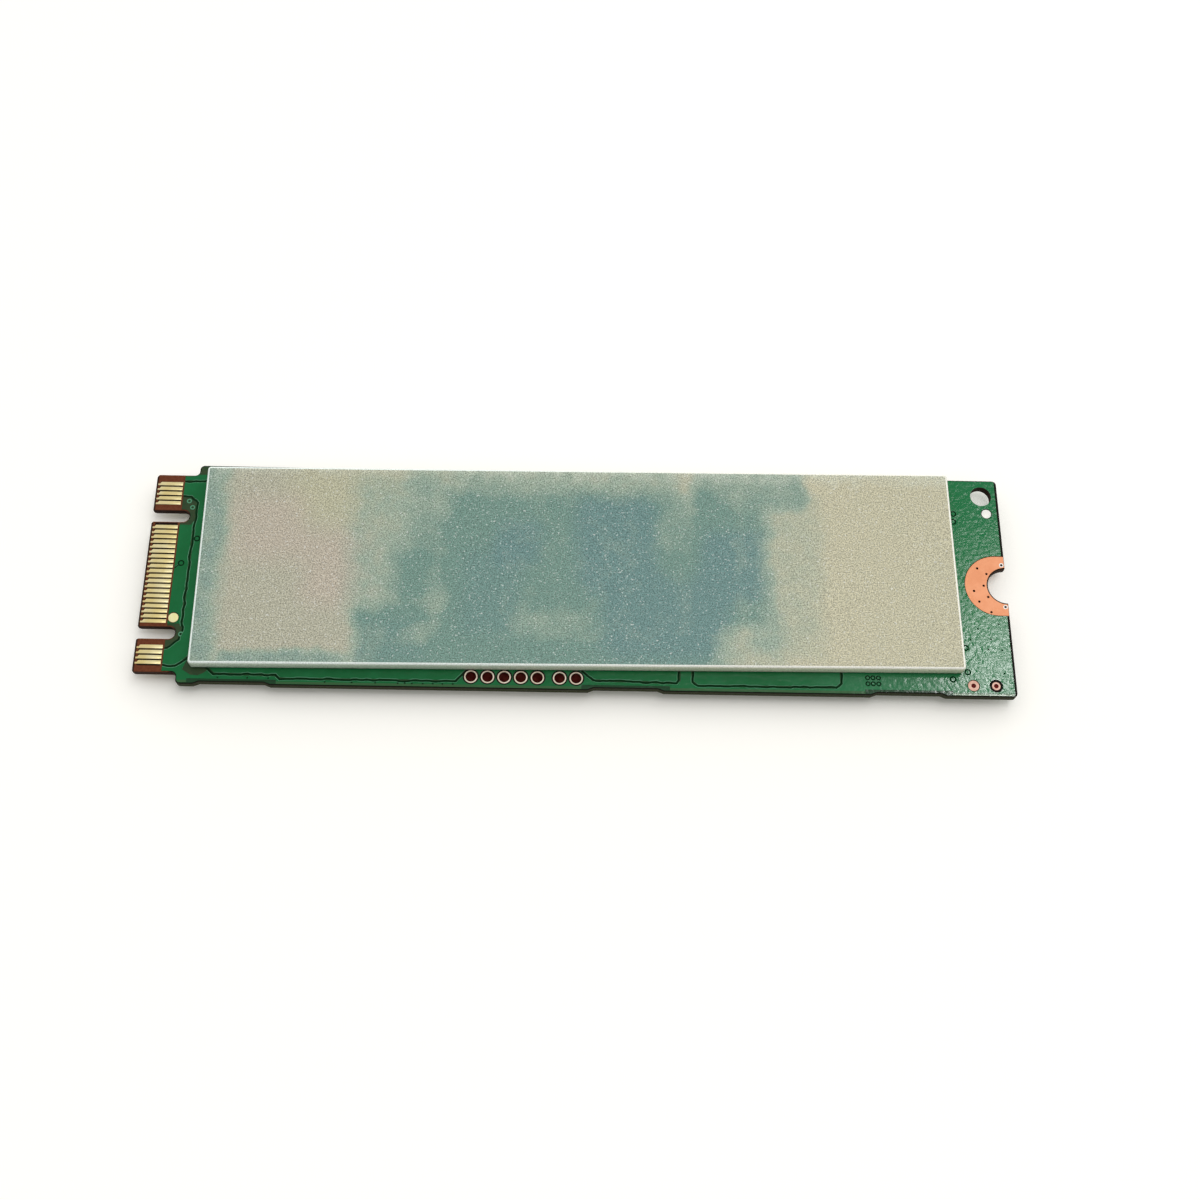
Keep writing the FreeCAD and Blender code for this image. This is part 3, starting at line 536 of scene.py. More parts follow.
# thermal pad: milky silicone, teal where it has wetted the board and beige where air is left under it
padLook = {
    "dryLeft": (0.455, 0.443, 0.335),
    "dryRight": (0.545, 0.515, 0.357),
    "half": (0.325, 0.410, 0.318),
    "wetGreen": (0.166, 0.290, 0.238),
    "wetBlue": (0.142, 0.264, 0.246),
    # next: the pale painted sheen along the far rim
    "farSheen": (0.62, 0.66, 0.54),
    # next: near white on the rounded rims, a painted highlight
    "rim": [(0.90, 0.98, 0.92), (0.99, 0.98, 0.88)],
    # next: the silicone's white, painted paler still as a glow of light passing through it
    "side": [(0.80, 0.92, 0.76), (0.98, 0.99, 0.76)],
    "sideTurn": (-16.0, 24.0),
    "sideCloud": 3.0,
    "sidePerMm": 0.6,
    "dryTurn": (-12.0, 26.0),
    # the far rim carries a pale painted sheen between these y, its edge shifted by a cloud
    "hazeY": (9.2, 11.2),
    "hazeShare": 0.6,
    "hazeCloud": 0.6,
    "hazePerMm": 0.8,
    "mottle": 0.19,
    "mottlePerMm": 0.55,
    "finePerMm": 8.5,
    "fineDepth": 0.028,
    "swellPerMm": 1.6,
    "swellDepth": 0.030,
    "glint": (0.85, 0.88, 0.84),
    "glintPerMm": 6.0,
    "glintFrom": (0.61, 0.73),
    "glintShare": 0.6,
    "roughness": (0.26, 0.44),
    "topContrast": 0.42,
    "sideContrast": 0.12,
    "wanderPerMm": 0.42,
    "wander": 1.7,
    # middle x, y, half length, half width, soft edge, how wet; below zero is drier
    "patches": [
        (-36.0, 0.0, 2.2, 12.0, 2.1, 0.56), (-26.5, -10.0, 5.3, 1.3, 1.1, 0.60),
        (-17.5, 2.0, 2.0, 6.0, 3.2, 0.32), (-3.0, 9.5, 11.0, 1.5, 3.0, 0.36),
        (0.5, -1.0, 10.5, 6.5, 4.5, 0.95), (-12.0, 1.0, 2.0, 3.0, 3.5, 0.50),
        (-15.0, -7.5, 4.2, 2.5, 2.0, 0.75), (-3.0, -9.5, 14.0, 1.2, 2.0, 0.30),
        (14.5, 1.0, 1.5, 4.5, 2.8, 0.75), (16.0, 9.2, 4.2, 1.2, 2.0, 0.56),
        (19.0, 0.5, 2.2, 7.0, 2.5, 0.18), (-15.5, -1.5, 0.8, 2.5, 2.2, 0.40),
        (-2.3, -5.2, 3.0, 0.6, 1.8, -0.25), (-13.0, -4.5, 0.8, 1.5, 2.2, -0.28),
        (9.0, 5.5, 0.5, 1.5, 2.6, -0.17), (16.5, -7.0, 1.5, 2.0, 2.0, 0.16),
    ],
    "yellow": (0.505, 0.490, 0.315),
    "yellowPatches": [(-20.0, 7.5, 5.0, 1.0, 4.5, 0.6)],
    "pink": (0.505, 0.440, 0.350),
    "pinkPatches": [(-28.5, 4.0, 1.5, 1.5, 3.5, 0.8), (-22.5, 0.0, 1.0, 2.0, 3.5, 0.8)],
    "bluePatches": [
        (-5.5, 3.0, 1.0, 1.0, 2.5, 0.8), (3.5, 3.0, 2.0, 3.0, 3.5, 1.0),
        (8.0, -4.5, 4.0, 2.0, 4.0, 0.9), (14.5, 1.0, 1.5, 2.0, 3.0, 1.0),
        (-8.0, -2.0, 1.5, 3.0, 3.0, 0.5), (-17.0, -7.0, 2.0, 1.0, 2.5, 0.4),
        (-36.0, 0.0, 2.0, 12.0, 2.0, 1.0), (-28.0, -10.0, 8.0, 2.0, 1.0, 0.8),
    ],
}


def patchField(tree, point, patches):
    # soft boxes with round corners, added up; the tall third half leaves height out
    total = None
    for x, y, halfLength, halfWidth, soft, amount in patches:
        local = vectors(tree, "ABSOLUTE", vectors(tree, "SUBTRACT", point, (x, y, 0.0)))
        outside = vectors(tree, "MAXIMUM", vectors(tree, "SUBTRACT", local, (halfLength, halfWidth, 99.0)))
        away = put(tree, "ShaderNodeVectorMath", {0: outside}, operation="LENGTH").outputs["Value"]
        patch = ramp(tree, away, soft, 0.0, 0.0, amount)
        total = patch if total is None else sums(tree, "ADD", total, patch)
    return total


def padTree(name, **values):
    finish, tree, shader, where = newFinish(name, **values)
    point = put(tree, "ShaderNodeVectorMath", {0: where, "Scale": 1 / mm}, operation="SCALE").outputs[0]
    return finish, tree, shader, where, point


def padGrain(tree, shader, where, colour, contrast):
    fine = grain(tree, where, padLook["finePerMm"], 2.0, 0.6)
    shade = ramp(tree, fine, 0.3, 0.7, 1.0 - 1.1 * contrast, 1.0 + 0.9 * contrast)
    frosted = put(tree, "ShaderNodeVectorMath", {0: colour, "Scale": shade}, operation="SCALE").outputs[0]
    sparks = grain(tree, where, padLook["glintPerMm"], 2.0, 0.5)
    glints = ramp(tree, sparks, *padLook["glintFrom"], 0.0, padLook["glintShare"])
    swell = raised(tree, grain(tree, where, padLook["swellPerMm"], 3.0, 0.6), padLook["swellDepth"], 0.6)
    wire(tree, shader, mixColour(tree, glints, frosted, padLook["glint"]),
         ramp(tree, fine, 0.3, 0.7, *padLook["roughness"]),
         raised(tree, fine, padLook["fineDepth"], 0.9, swell))


def makePadTopFinish():
    finish, tree, shader, where, point = padTree("padTop", specular=0.35)
    axes = axesOf(tree, point)
    reach = padLook["wander"]
    drift = put(tree, "ShaderNodeTexNoise", {"Vector": point, "Scale": padLook["wanderPerMm"],
                                             "Detail": 4.0, "Roughness": 0.6}).outputs["Color"]
    shift = put(tree, "ShaderNodeVectorMath", {0: drift, 1: (reach,) * 3, 2: (-reach / 2,) * 3},
                operation="MULTIPLY_ADD").outputs[0]
    moved = vectors(tree, "ADD", point, shift)
    wet = patchField(tree, moved, padLook["patches"])
    mottle = ramp(tree, grain(tree, where, padLook["mottlePerMm"], 5.0, 0.62), 0.25, 0.75,
                  -padLook["mottle"], padLook["mottle"], False)
    strength = ramp(tree, wet, 0.0, 0.4, 0.2, 1.0)
    factor = sums(tree, "ADD", wet, sums(tree, "MULTIPLY", mottle, strength))
    blue = ramp(tree, patchField(tree, moved, padLook["bluePatches"]), 0.0, 1.0)
    turn = ramp(tree, axes["X"], *padLook["dryTurn"])
    dryTone = mixColour(tree, turn, padLook["dryLeft"], padLook["dryRight"])
    for tint in ("yellow", "pink"):
        tinted = patchField(tree, moved, padLook[tint + "Patches"])
        dryTone = mixColour(tree, tinted, dryTone, padLook[tint])
    wetTone = mixColour(tree, blue, padLook["wetGreen"], padLook["wetBlue"])
    tone = mixColour(tree, ramp(tree, factor, 0.0, 0.40, smooth=False), dryTone, padLook["half"])
    tone = mixColour(tree, ramp(tree, factor, 0.40, 0.95, smooth=False), tone, wetTone)
    cloud = ramp(tree, grain(tree, where, padLook["hazePerMm"], 3.0), 0.2, 0.8,
                 -padLook["hazeCloud"], padLook["hazeCloud"])
    paintedFarSheen = ramp(tree, sums(tree, "ADD", axes["Y"], cloud), *padLook["hazeY"], 0.0, padLook["hazeShare"])
    padGrain(tree, shader, where, mixColour(tree, paintedFarSheen, tone, padLook["farSheen"]), padLook["topContrast"])
    return finish


def makePadSideFinish(name, left, right):
    finish, tree, shader, where, point = padTree(name, specular=0.35)
    cloud = ramp(tree, grain(tree, where, padLook["sidePerMm"], 3.0), 0.3, 0.7,
                 -padLook["sideCloud"], padLook["sideCloud"])
    turn = ramp(tree, sums(tree, "ADD", axesOf(tree, point)["X"], cloud), *padLook["sideTurn"])
    tone = mixColour(tree, turn, left, right)
    padGrain(tree, shader, where, tone, padLook["sideContrast"])
    return finish


finishes = {name: makeMetalFinish(name) for name in metalLooks}
finishes.update({name: makeBodyFinish(name) for name in bodyLooks})
finishes["greenMask"] = makeMaskFinish()
finishes["maskGapShade"] = makeGapShadeFinish()
finishes["glassLaminate"] = makeLaminateFinish()
finishes["resistorCeramic"] = makeResistorFinish()
finishes["padTop"] = makePadTopFinish()
finishes["padRimHighlight"] = makePadSideFinish("padRimHighlight", *padLook["rim"])
finishes["padSideGlow"] = makePadSideFinish("padSideGlow", *padLook["side"])
print("finishes ready:", len(finishes))


# round features that both faces of the card share: x, y, hole radius, ring radius; dots have one radius
headerHoles = [(x, -9.88, 0.485, 0.605) for x in (-9.57, -8.07, -6.57, -5.07, -3.57, -1.57, -0.07)]
testHoles = [(36.04, -9.96, 0.21, 0.51), (38.11, -9.96, 0.21, 0.39)]
fiducialDots = [(38.77, 7.47, 0.46), (-36.82, -4.65, 0.46)]


# board core: cut edges slightly broken
boardPlan = {"edgeBreak": 0.02}
work = cadCopy("board_laminate")
softenEdges(work, boardPlan["edgeBreak"], segments=1, overAngle=50)
makePiece("boardCore", work, [finishes["glassLaminate"]], "laminate", "board_laminate")


# solder mask on both faces: round openings, grooves between copper areas, rings round the covered vias,
# small sunk dots, and traces and ring vias on the chip side
maskPlan = {
    "headerOpening": 0.135,
    "wideTestOpening": 0.06,
    "smallTestOpening": 0.23,
    "dotOpening": 0.07,
    "edgeRound": 0.035,
    "endTrim": 0.14,
    "trimBlock": (2.0, 40.0, 0.6),
    "viaRing": (0.175, 0.18, 0.305, 0.31),
    "crowdedRing": (0.12, 0.125, 0.235, 0.24),
    "raisedRing": (0.10, 0.15, 0.21, 0.27),
    "grooveDepth": 0.046,
    # rings and dots end a little above the grooves' bottom
    "ringLift": 0.003,
    "raisedTop": 0.018,
    "gapFrom": 0.039,
    "gapFacing": 0.9,
    "openingSpare": 0.05,
    "grooveSpare": 0.01,
    "topBand": 0.002,
    "ringSteps": 24,
    "dotSides": 14,
    "grooveWidths": (0.36, 0.17),
    "wobbleStep": 0.30,
    "wobble": 0.14,
    "grooves": [
        [(-37.5, 7.675), (-36.5, 7.675), (-35.87, 7.025), (-35.85, 5.625), (-35.97, 4.425), (-36.0, -5.325),
         (-35.9, -5.875), (-36.1, -6.775), (-37.1, -7.645), (-37.5, -7.645)],
        [(-37.5, 9.29), (-33.8, 9.29)],
        [(-37.5, -9.25), (-36.75, -9.38), (-36.13, -9.3), (-35.7, -9.05), (-34.6, -7.9)],
        [(-33.4, -9.3), (-32.64, -10.01), (-27.14, -10.07), (-26.68, -10.38), (-10.9, -10.36),
         (-9.8, -9.0)],
        [(0.3, -9.0), (1.45, -10.05), (9.0, -10.2), (9.27, -9.9), (9.27, -8.8)],
        [(10.45, -8.8), (10.47, -10.02), (10.91, -10.4), (23.5, -10.37), (23.97, -9.95), (23.97, -8.8)],
    ],
    "traces": [[(-37.4, 0.22), (-36.88, 0.68)]],
    "traceWidths": (0.16, 0.08),
    "ringedVias": [(34.2, -9.38), (35.60, -8.66), (35.61, -6.28), (35.58, 7.40), (35.51, 6.56),
                   (-35.54, 3.33), (-36.73, 0.80)],
    "crowdedVias": [(x, y) for y in (-9.36, -9.94) for x in (26.39, 26.88, 27.38)],
    "raisedVias": [(-36.67, 7.21), (-36.3, 6.55), (-35.98, -6.25)],
    "sunkDots": [(36.14, -5.46), (37.72, -6.41), (38.96, -6.47), (38.97, -8.74), (38.88, -3.89),
                 (36.93, -4.38), (38.04, -5.40)]
    + [(x, -10.63) for x in (-22.64, -20.22, -18.12, -16.10, -15.47, -14.83, -13.86, -12.95, -12.09, -11.16)]
    + [(x, -10.36) for x in (-32.23, -29.59, -27.72)],
    "dotRadius": 0.085,
    "chipTraces": [[(-37.6, y + side), (-36.1, y + side), (-35.0, 0.75 * y + side)]
                   for y in (-2.75, -1.25, 1.25, 2.75) for side in (-0.2, 0.2)],
    "chipVias": [(x, -8.2) for x in (-24.0, -22.5, -21.0, -19.5, -18.0)]
    + [(-14.7, y) for y in (-7.6, -6.4, 5.2, 6.4, 7.6)]
    + [(-2.7, y) for y in (-7.8, -6.6, 6.6, 7.8)]
    + [(13.2, y) for y in (-8.0, -6.8, 6.8, 8.0)]
    + [(33.0, y) for y in (-8.0, -6.6, -2.4, 0.0, 2.4, 6.6, 8.0)],
}


def maskOpenings(low, high):
    cutter = bmesh.new()
    for x, y, hole, ring in headerHoles:
        addPost(cutter, x, y, ring + maskPlan["headerOpening"], low, high)
    testGaps = (maskPlan["wideTestOpening"], maskPlan["smallTestOpening"])
    for (x, y, hole, ring), gap in zip(testHoles, testGaps):
        addPost(cutter, x, y, ring + gap, low, high)
    for x, y, radius in fiducialDots:
        addPost(cutter, x, y, radius + maskPlan["dotOpening"], low, high)
    return cutter


def markGaps(work, face, way):
    # flat bottoms that lie deeper than the sunk fields take the finish with painted shade
    for flat in work.faces:
        deep = way * (face * mm - flat.calc_center_median().z) > maskPlan["gapFrom"] * mm
        level = way * flat.normal.z > maskPlan["gapFacing"]
        flat.material_index = 1 if deep and level else 0


maskFinishes = [finishes["greenMask"], finishes["maskGapShade"]]
spare = maskPlan["openingSpare"]
work = cadCopy("solder_mask_pad_side")
topEdges = [e for e in work.edges if e.is_manifold and e.calc_face_angle(0) > 1
            and min(v.co.z for v in e.verts) > (padSeat - maskPlan["topBand"]) * mm]
bevelEdges(work, topEdges, maskPlan["edgeRound"], 2)
cutter = maskOpenings(laminateTop - spare, padSeat + spare)
# a block past the screw end trims the film back from the card's edge
endX = max(v.co.x for v in work.verts) - maskPlan["endTrim"] * mm
blockSize = [length * mm for length in maskPlan["trimBlock"]]
blockPlace = Matrix.Translation((endX + blockSize[0] / 2, 0, padSeat * mm))
bmesh.ops.create_cube(cutter, size=1, matrix=blockPlace @ Matrix.Diagonal((*blockSize, 1)))
work = carve(work, cutter)
low = padSeat - maskPlan["grooveDepth"]
ringLow = low + maskPlan["ringLift"]
high = padSeat + maskPlan["grooveSpare"]
cutter = bmesh.new()
lines = [wobbled(line, maskPlan["wobbleStep"], maskPlan["wobble"]) for line in maskPlan["grooves"]]
addGrooves(cutter, lines, *maskPlan["grooveWidths"], low, high)
addGrooves(cutter, maskPlan["traces"], *maskPlan["traceWidths"], low, high)
closeUp(cutter)
work = carve(work, cutter)
cutter = bmesh.new()
for places, ring in (("ringedVias", "viaRing"), ("crowdedVias", "crowdedRing")):
    topIn, lowIn, lowOut, topOut = maskPlan[ring]
    for x, y in maskPlan[places]:
        profile = [(topIn, high), (lowIn, ringLow), (lowOut, ringLow), (topOut, high)]
        addTurned(cutter, profile, x, y, maskPlan["ringSteps"])
for x, y in maskPlan["sunkDots"]:
    addPost(cutter, x, y, maskPlan["dotRadius"], ringLow, high, maskPlan["dotSides"])
closeUp(cutter)
work = carve(work, cutter)
added = bmesh.new()
lowIn, topIn, topOut, lowOut = maskPlan["raisedRing"]
ringTop = padSeat - maskPlan["raisedTop"]
for x, y in maskPlan["raisedVias"]:
    profile = [(lowIn, low), (topIn, ringTop), (topOut, ringTop), (lowOut, low)]
    addTurned(added, profile, x, y, maskPlan["ringSteps"])
closeUp(added)
work = carve(work, added, "UNION")
bmesh.ops.triangulate(work, faces=work.faces)
markGaps(work, padSeat, 1)
makePiece("maskPadSide", work, maskFinishes, "green_mask", "solder_mask_pad_side",
          evenNormals=False, smooth=False)

work = carve(cadCopy("solder_mask_chip_side"), maskOpenings(chipFace - spare, laminateLow + spare))
low = chipFace - maskPlan["grooveSpare"]
high = chipFace + maskPlan["grooveDepth"]
ringHigh = high - maskPlan["ringLift"]
cutter = bmesh.new()
addGrooves(cutter, maskPlan["chipTraces"], *reversed(maskPlan["traceWidths"]), low, high)
closeUp(cutter)
work = carve(work, cutter)
cutter = bmesh.new()
lowIn, highIn, highOut, lowOut = maskPlan["viaRing"]
for x, y in maskPlan["chipVias"]:
    profile = [(lowIn, low), (highIn, ringHigh), (highOut, ringHigh), (lowOut, low)]
    addTurned(cutter, profile, x, y, maskPlan["ringSteps"])
closeUp(cutter)
work = carve(work, cutter)
markGaps(work, chipFace, -1)
makePiece("maskChipSide", work, maskFinishes, "green_mask", "solder_mask_chip_side",
          evenNormals=False, smooth=False)


# gold contacts: plated strips with rolled edges
contactPlan = {"edgeRoll": 0.014}
for side, node in (("PadSide", "contacts_pad_side"), ("ChipSide", "contacts_chip_side")):
    work = cadCopy(node)
    softenEdges(work, contactPlan["edgeRoll"], 2)
    makePiece("contacts" + side, work, [finishes["contactGold"]], "gold", node)


# screw lands: round via holes, a dark disc in each as painted shade down the hole, and pale rims on the two
# at the card's end
landPlan = {
    "middleX": 40,
    "viaRadius": 0.12,
    "viaSides": 20,
    "notchTrim": 0.12,
    "notchSides": 96,
    "innerCircle": 2.15,
    "innerAngles": (98, 146, 180, 212, 262),
    "outerCircle": 3.15,
    "outerAngles": (146, 190, 211, 238),
    "rimmedAngles": (98, 262),
    "rimWidth": 0.09,
    "rimHeight": 0.010,
    "cutSpare": 0.02,
    # wells: distance of their middle from the laminate, half thickness, clearance
    "wellUp": 0.006,
    "wellHalf": 0.005,
    "wellGap": 0.002,
}


def landPlace(circle, angle):
    turn = math.radians(angle)
    return landPlan["middleX"] + circle * math.cos(turn), circle * math.sin(turn)


landPlaces = [landPlace(landPlan["innerCircle"], angle) for angle in landPlan["innerAngles"]]
landPlaces += [landPlace(landPlan["outerCircle"], angle) for angle in landPlan["outerAngles"]]
viaRadius, viaSides = landPlan["viaRadius"], landPlan["viaSides"]
wellShades = bmesh.new()
rims = bmesh.new()
# the side's name, its node, the land's two levels, and which way the land faces
for side, node, low, high, way in (("PadSide", "screw_land_pad_side", laminateTop, copperTop, 1),
                                   ("ChipSide", "screw_land_chip_side", copperLow, laminateLow, -1)):
    cutLow, cutHigh = low - landPlan["cutSpare"], high + landPlan["cutSpare"]
    cutter = bmesh.new()
    for x, y in landPlaces:
        addPost(cutter, x, y, viaRadius, cutLow, cutHigh, viaSides)
    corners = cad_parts[node].data.vertices
    notch = min(math.hypot(v.co.x / mm - landPlan["middleX"], v.co.y / mm) for v in corners)
    addPost(cutter, landPlan["middleX"], 0, notch + landPlan["notchTrim"], cutLow, cutHigh,
            landPlan["notchSides"])
    work = carve(cadCopy(node), cutter)
    makePiece("screwLand" + side, work, [finishes["bareCopper"]], "bare_copper", node)
    seat, face = (low, high) if way > 0 else (high, low)
    middle = seat + way * landPlan["wellUp"]
    for x, y in landPlaces:
        addPost(wellShades, x, y, viaRadius - landPlan["wellGap"], middle - landPlan["wellHalf"],
                middle + landPlan["wellHalf"], viaSides)
    outer = viaRadius + landPlan["rimWidth"]
    lift = face + way * landPlan["rimHeight"]
    for angle in landPlan["rimmedAngles"]:
        profile = [(viaRadius, face), (outer, face), ((viaRadius + outer) / 2, lift)]
        addTurned(rims, profile, *landPlace(landPlan["innerCircle"], angle), viaSides)
closeUp(rims)
makePiece("screwLandWellShades", wellShades, [finishes["viaWellShade"]], "bare_copper", evenNormals=False)
makePiece("screwLandRims", rims, [finishes["paleDot"]], "bare_copper", evenNormals=False)


# plated holes: a turned barrel with rolled rings, dark inside
barrelPlan = {"plating": 0.03, "roll": 0.014, "wallSlack": 0.002}


def makeBarrels(name, holes, node, ringFinish, wellFinish):
    work = bmesh.new()
    roll = barrelPlan["roll"]
    for x, y, hole, ring in holes:
        wall = hole + barrelPlan["plating"]
        profile = [(hole + roll, copperLow), (ring - roll, copperLow), (ring, copperLow + roll),
                   (ring, laminateLow), (wall, laminateLow), (wall, laminateTop), (ring, laminateTop),
                   (ring, copperTop - roll), (ring - roll, copperTop), (hole + roll, copperTop),
                   (hole, copperTop - roll), (hole, copperLow + roll)]
        addTurned(work, profile, x, y)
    closeUp(work)
    for face in work.faces:
        middle = face.calc_center_median() / mm
        inside = any(math.hypot(middle.x - x, middle.y - y) < hole + barrelPlan["wallSlack"]
                     for x, y, hole, ring in holes)
        face.material_index = 1 if inside else 0
    makePiece(name, work, [finishes[ringFinish], finishes[wellFinish]], "bare_copper", node)


makeBarrels("headerBarrels", headerHoles, "header_hole_barrels", "headerRing", "headerWall")
makeBarrels("testBarrels", testHoles, "test_hole_barrels", "testRing", "testWell")

# a dark filling in the plated holes: a shallow dish, bent at a share of its radius and depth
fillPlan = {
    "low": 1.42,
    "headerRim": 1.74,
    "testRim": 1.90,
    "dish": 0.08,
    "bendRadius": 0.6,
    "bendDepth": 0.8,
    "steps": 32,
}
for name, holes, wellFinish, rim in (("headerFillings", headerHoles, "headerWell", fillPlan["headerRim"]),
                                     ("testFillings", testHoles, "testWell", fillPlan["testRim"])):
    work = bmesh.new()
    low, dish = fillPlan["low"], fillPlan["dish"]
    for x, y, hole, ring in holes:
        bend = (hole * fillPlan["bendRadius"], rim - dish * fillPlan["bendDepth"])
        profile = [(0.0, low), (hole, low), (hole, rim), bend, (0.0, rim - dish)]
        addTurned(work, profile, x, y, fillPlan["steps"])
    closeUp(work)
    makePiece(name, work, [finishes[wellFinish]], "bare_copper", evenNormals=False)


# fiducial dots: low discs with a rolled rim, the end one pale as a painted highlight and the tip one gold
dotPlan = {"roll": 0.016, "sides": 48}
for side, node, low, high in (("PadSide", "fiducials_pad_side", laminateTop, copperTop),
                              ("ChipSide", "fiducials_chip_side", copperLow, laminateLow)):
    work = bmesh.new()
    for x, y, radius in fiducialDots:
        addPost(work, x, y, radius, low, high, dotPlan["sides"])
    softenEdges(work, dotPlan["roll"], 2, 50)
    for face in work.faces:
        face.material_index = 0 if face.calc_center_median().x > 0 else 1
    makePiece("fiducials" + side, work, [finishes["paleDot"], finishes["dotGold"]], "gold", node)


# thermal pad: a soft sheet with rounded rims and a faintly uneven face
padPlan = {
    "length": 70.0,
    "width": 19.8,
    "middle": (0.1, 0.73),
    "turn": 0.54,
    "corner": 0.3,
    "rim": 0.20,
    "dip": 0.035,
    "dipPerMm": 0.16,
    "columns": 140,
    "rows": 40,
    # faces that look up or down further than these are top and rim, the rest is side
    "topFacing": 0.97,
    "rimFacing": 0.3,
    "dipBand": 0.1,
}


def makePad():
    work = bmesh.new()
    bmesh.ops.create_grid(work, x_segments=padPlan["columns"], y_segments=padPlan["rows"], size=0.5)
    bmesh.ops.scale(work, vec=(padPlan["length"] * mm, padPlan["width"] * mm, 1), verts=work.verts)
    bmesh.ops.translate(work, vec=(0, 0, padTop * mm), verts=work.verts)
    under = bmesh.ops.extrude_face_region(work, geom=list(work.faces))
    lowered = [item for item in under["geom"] if isinstance(item, bmesh.types.BMVert)]
    bmesh.ops.translate(work, vec=(0, 0, (padSeat - padTop) * mm), verts=lowered)
    bmesh.ops.recalc_face_normals(work, faces=work.faces)
    upright = [e for e in work.edges if e.calc_face_angle(0) > 1
               and abs(e.verts[0].co.z - e.verts[1].co.z) > (padTop - padSeat) / 2 * mm]
    bevelEdges(work, upright, padPlan["corner"], 4)
    around = [e for e in work.edges if e.calc_face_angle(0) > 1]
    bevelEdges(work, around, padPlan["rim"], 3)
    for face in work.faces:
        tilt = abs(face.normal.z)
        face.material_index = 0 if tilt > padPlan["topFacing"] else (1 if tilt > padPlan["rimFacing"] else 2)
    for vert in work.verts:
        x, y, z = vert.co / mm
        if z > padTop - padPlan["dipBand"]:
            hollow = 0.5 + 0.5 * noise.noise(Vector((x, y, 0)) * padPlan["dipPerMm"])
            vert.co.z -= padPlan["dip"] * mm * hollow
    turned = Matrix.Rotation(math.radians(padPlan["turn"]), 4, "Z")
    spot = Matrix.Translation(Vector((*padPlan["middle"], 0)) * mm) @ turned
    bmesh.ops.transform(work, matrix=spot, verts=work.verts)
    makePiece("thermalPad", work, [finishes["padTop"], finishes["padRimHighlight"], finishes["padSideGlow"]], "silicone",
              "thermal_pad", sharpAngle=60)


makePad()


# chip packages: bevelled caps with a round first-pin dimple, substrates, squashed solder balls
packagePlan = {
    "packages": [("controller", "controller"), ("buffer", "buffer_memory"),
                 ("flashOne", "flash_1"), ("flashTwo", "flash_2")],
    "capBreak": 0.03,
    "substrateBreak": 0.02,
    "dimpleRadius": 0.47,
    "dimpleDepth": 0.052,
    "dimpleFromEdge": 1.1,
    "dimpleSpare": 0.1,
    "ballRadius": 0.21,
    "ballSquash": 0.72,
    "ballFacing": 0.9,
}


def makeBalls(name, node):
    low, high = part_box(node)
    source = cadCopy(node)
    seen = set()
    work = bmesh.new()
    for face in source.faces:
        if face.normal.z > packagePlan["ballFacing"]:
            middle = face.calc_center_median()
            seen.add((round(middle.x / mm, 3), round(middle.y / mm, 3)))
    source.free()
    middleZ = (low.z + high.z) / 2
    squash = Matrix.Diagonal((1, 1, packagePlan["ballSquash"], 1))
    for x, y in sorted(seen):
        place = Matrix.Translation((x * mm, y * mm, middleZ)) @ squash
        made = bmesh.ops.create_uvsphere(work, u_segments=14, v_segments=9,
                                         radius=packagePlan["ballRadius"] * mm, matrix=place)
        for vert in made["verts"]:
            vert.co.z = min(max(vert.co.z, low.z), high.z)
    makePiece(name, work, [finishes["solderMetal"]], "solder", node, evenNormals=False)


for label, node in packagePlan["packages"]:
    low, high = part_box(node + "_cap")
    cutter = bmesh.new()
    dimpleX = low.x / mm + packagePlan["dimpleFromEdge"]
    dimpleY = high.y / mm - packagePlan["dimpleFromEdge"]
    addPost(cutter, dimpleX, dimpleY, packagePlan["dimpleRadius"], low.z / mm - packagePlan["dimpleSpare"],
            low.z / mm + packagePlan["dimpleDepth"])
    work = carve(cadCopy(node + "_cap"), cutter)
    softenEdges(work, packagePlan["capBreak"], 2, 50)
    makePiece(label + "Cap", work, [finishes["blackEpoxy"]], "black_epoxy", node + "_cap")
    work = cadCopy(node + "_substrate")
    softenEdges(work, packagePlan["substrateBreak"], 1, 50)
    makePiece(label + "Substrate", work, [finishes["packageBoard"]], "package_board", node + "_substrate")
    makeBalls(label + "Balls", node + "_solder_balls")


# small parts: node, piece name, finish, slot, edge rounding, segments
smallParts = [
    ("power_chip_body", "powerChipBody", "blackEpoxy", "black_epoxy", 0.03, 2),
    ("power_chip_leads", "powerChipLeads", "tinEnd", "tin", 0.012, 1),
    ("regulator_body", "regulatorBody", "blackEpoxy", "black_epoxy", 0.04, 2),
    ("regulator_leads", "regulatorLeads", "tinEnd", "tin", 0.03, 2),
    ("oscillator_base", "oscillatorBase", "oscillatorCeramic", "oscillator_ceramic", 0.04, 2),
    ("oscillator_lid", "oscillatorLid", "lidMetal", "oscillator_metal", 0.05, 3),
    ("inductor_bodies", "inductorBodies", "inductorCore", "inductor_core", 0.06, 3),
    ("inductor_terminals", "inductorTerminals", "tinEnd", "tin", 0.06, 3),
    ("large_capacitor_bodies", "largeCapacitorBodies", "capacitorCeramic", "capacitor_ceramic", 0.05, 3),
    ("large_capacitor_terminals", "largeCapacitorTerminals", "tinEnd", "tin", 0.07, 3),
    ("small_capacitor_bodies", "smallCapacitorBodies", "capacitorCeramic", "capacitor_ceramic", 0.03, 2),
    ("small_capacitor_terminals", "smallCapacitorTerminals", "tinEnd", "tin", 0.04, 3),
    ("resistor_bodies", "resistorBodies", "resistorCeramic", "resistor_ceramic", 0.02, 2),
    ("resistor_terminals", "resistorTerminals", "tinEnd", "tin", 0.03, 2),
    ("solder_joints", "solderJoints", "solderMetal", "solder", 0.025, 2),
]
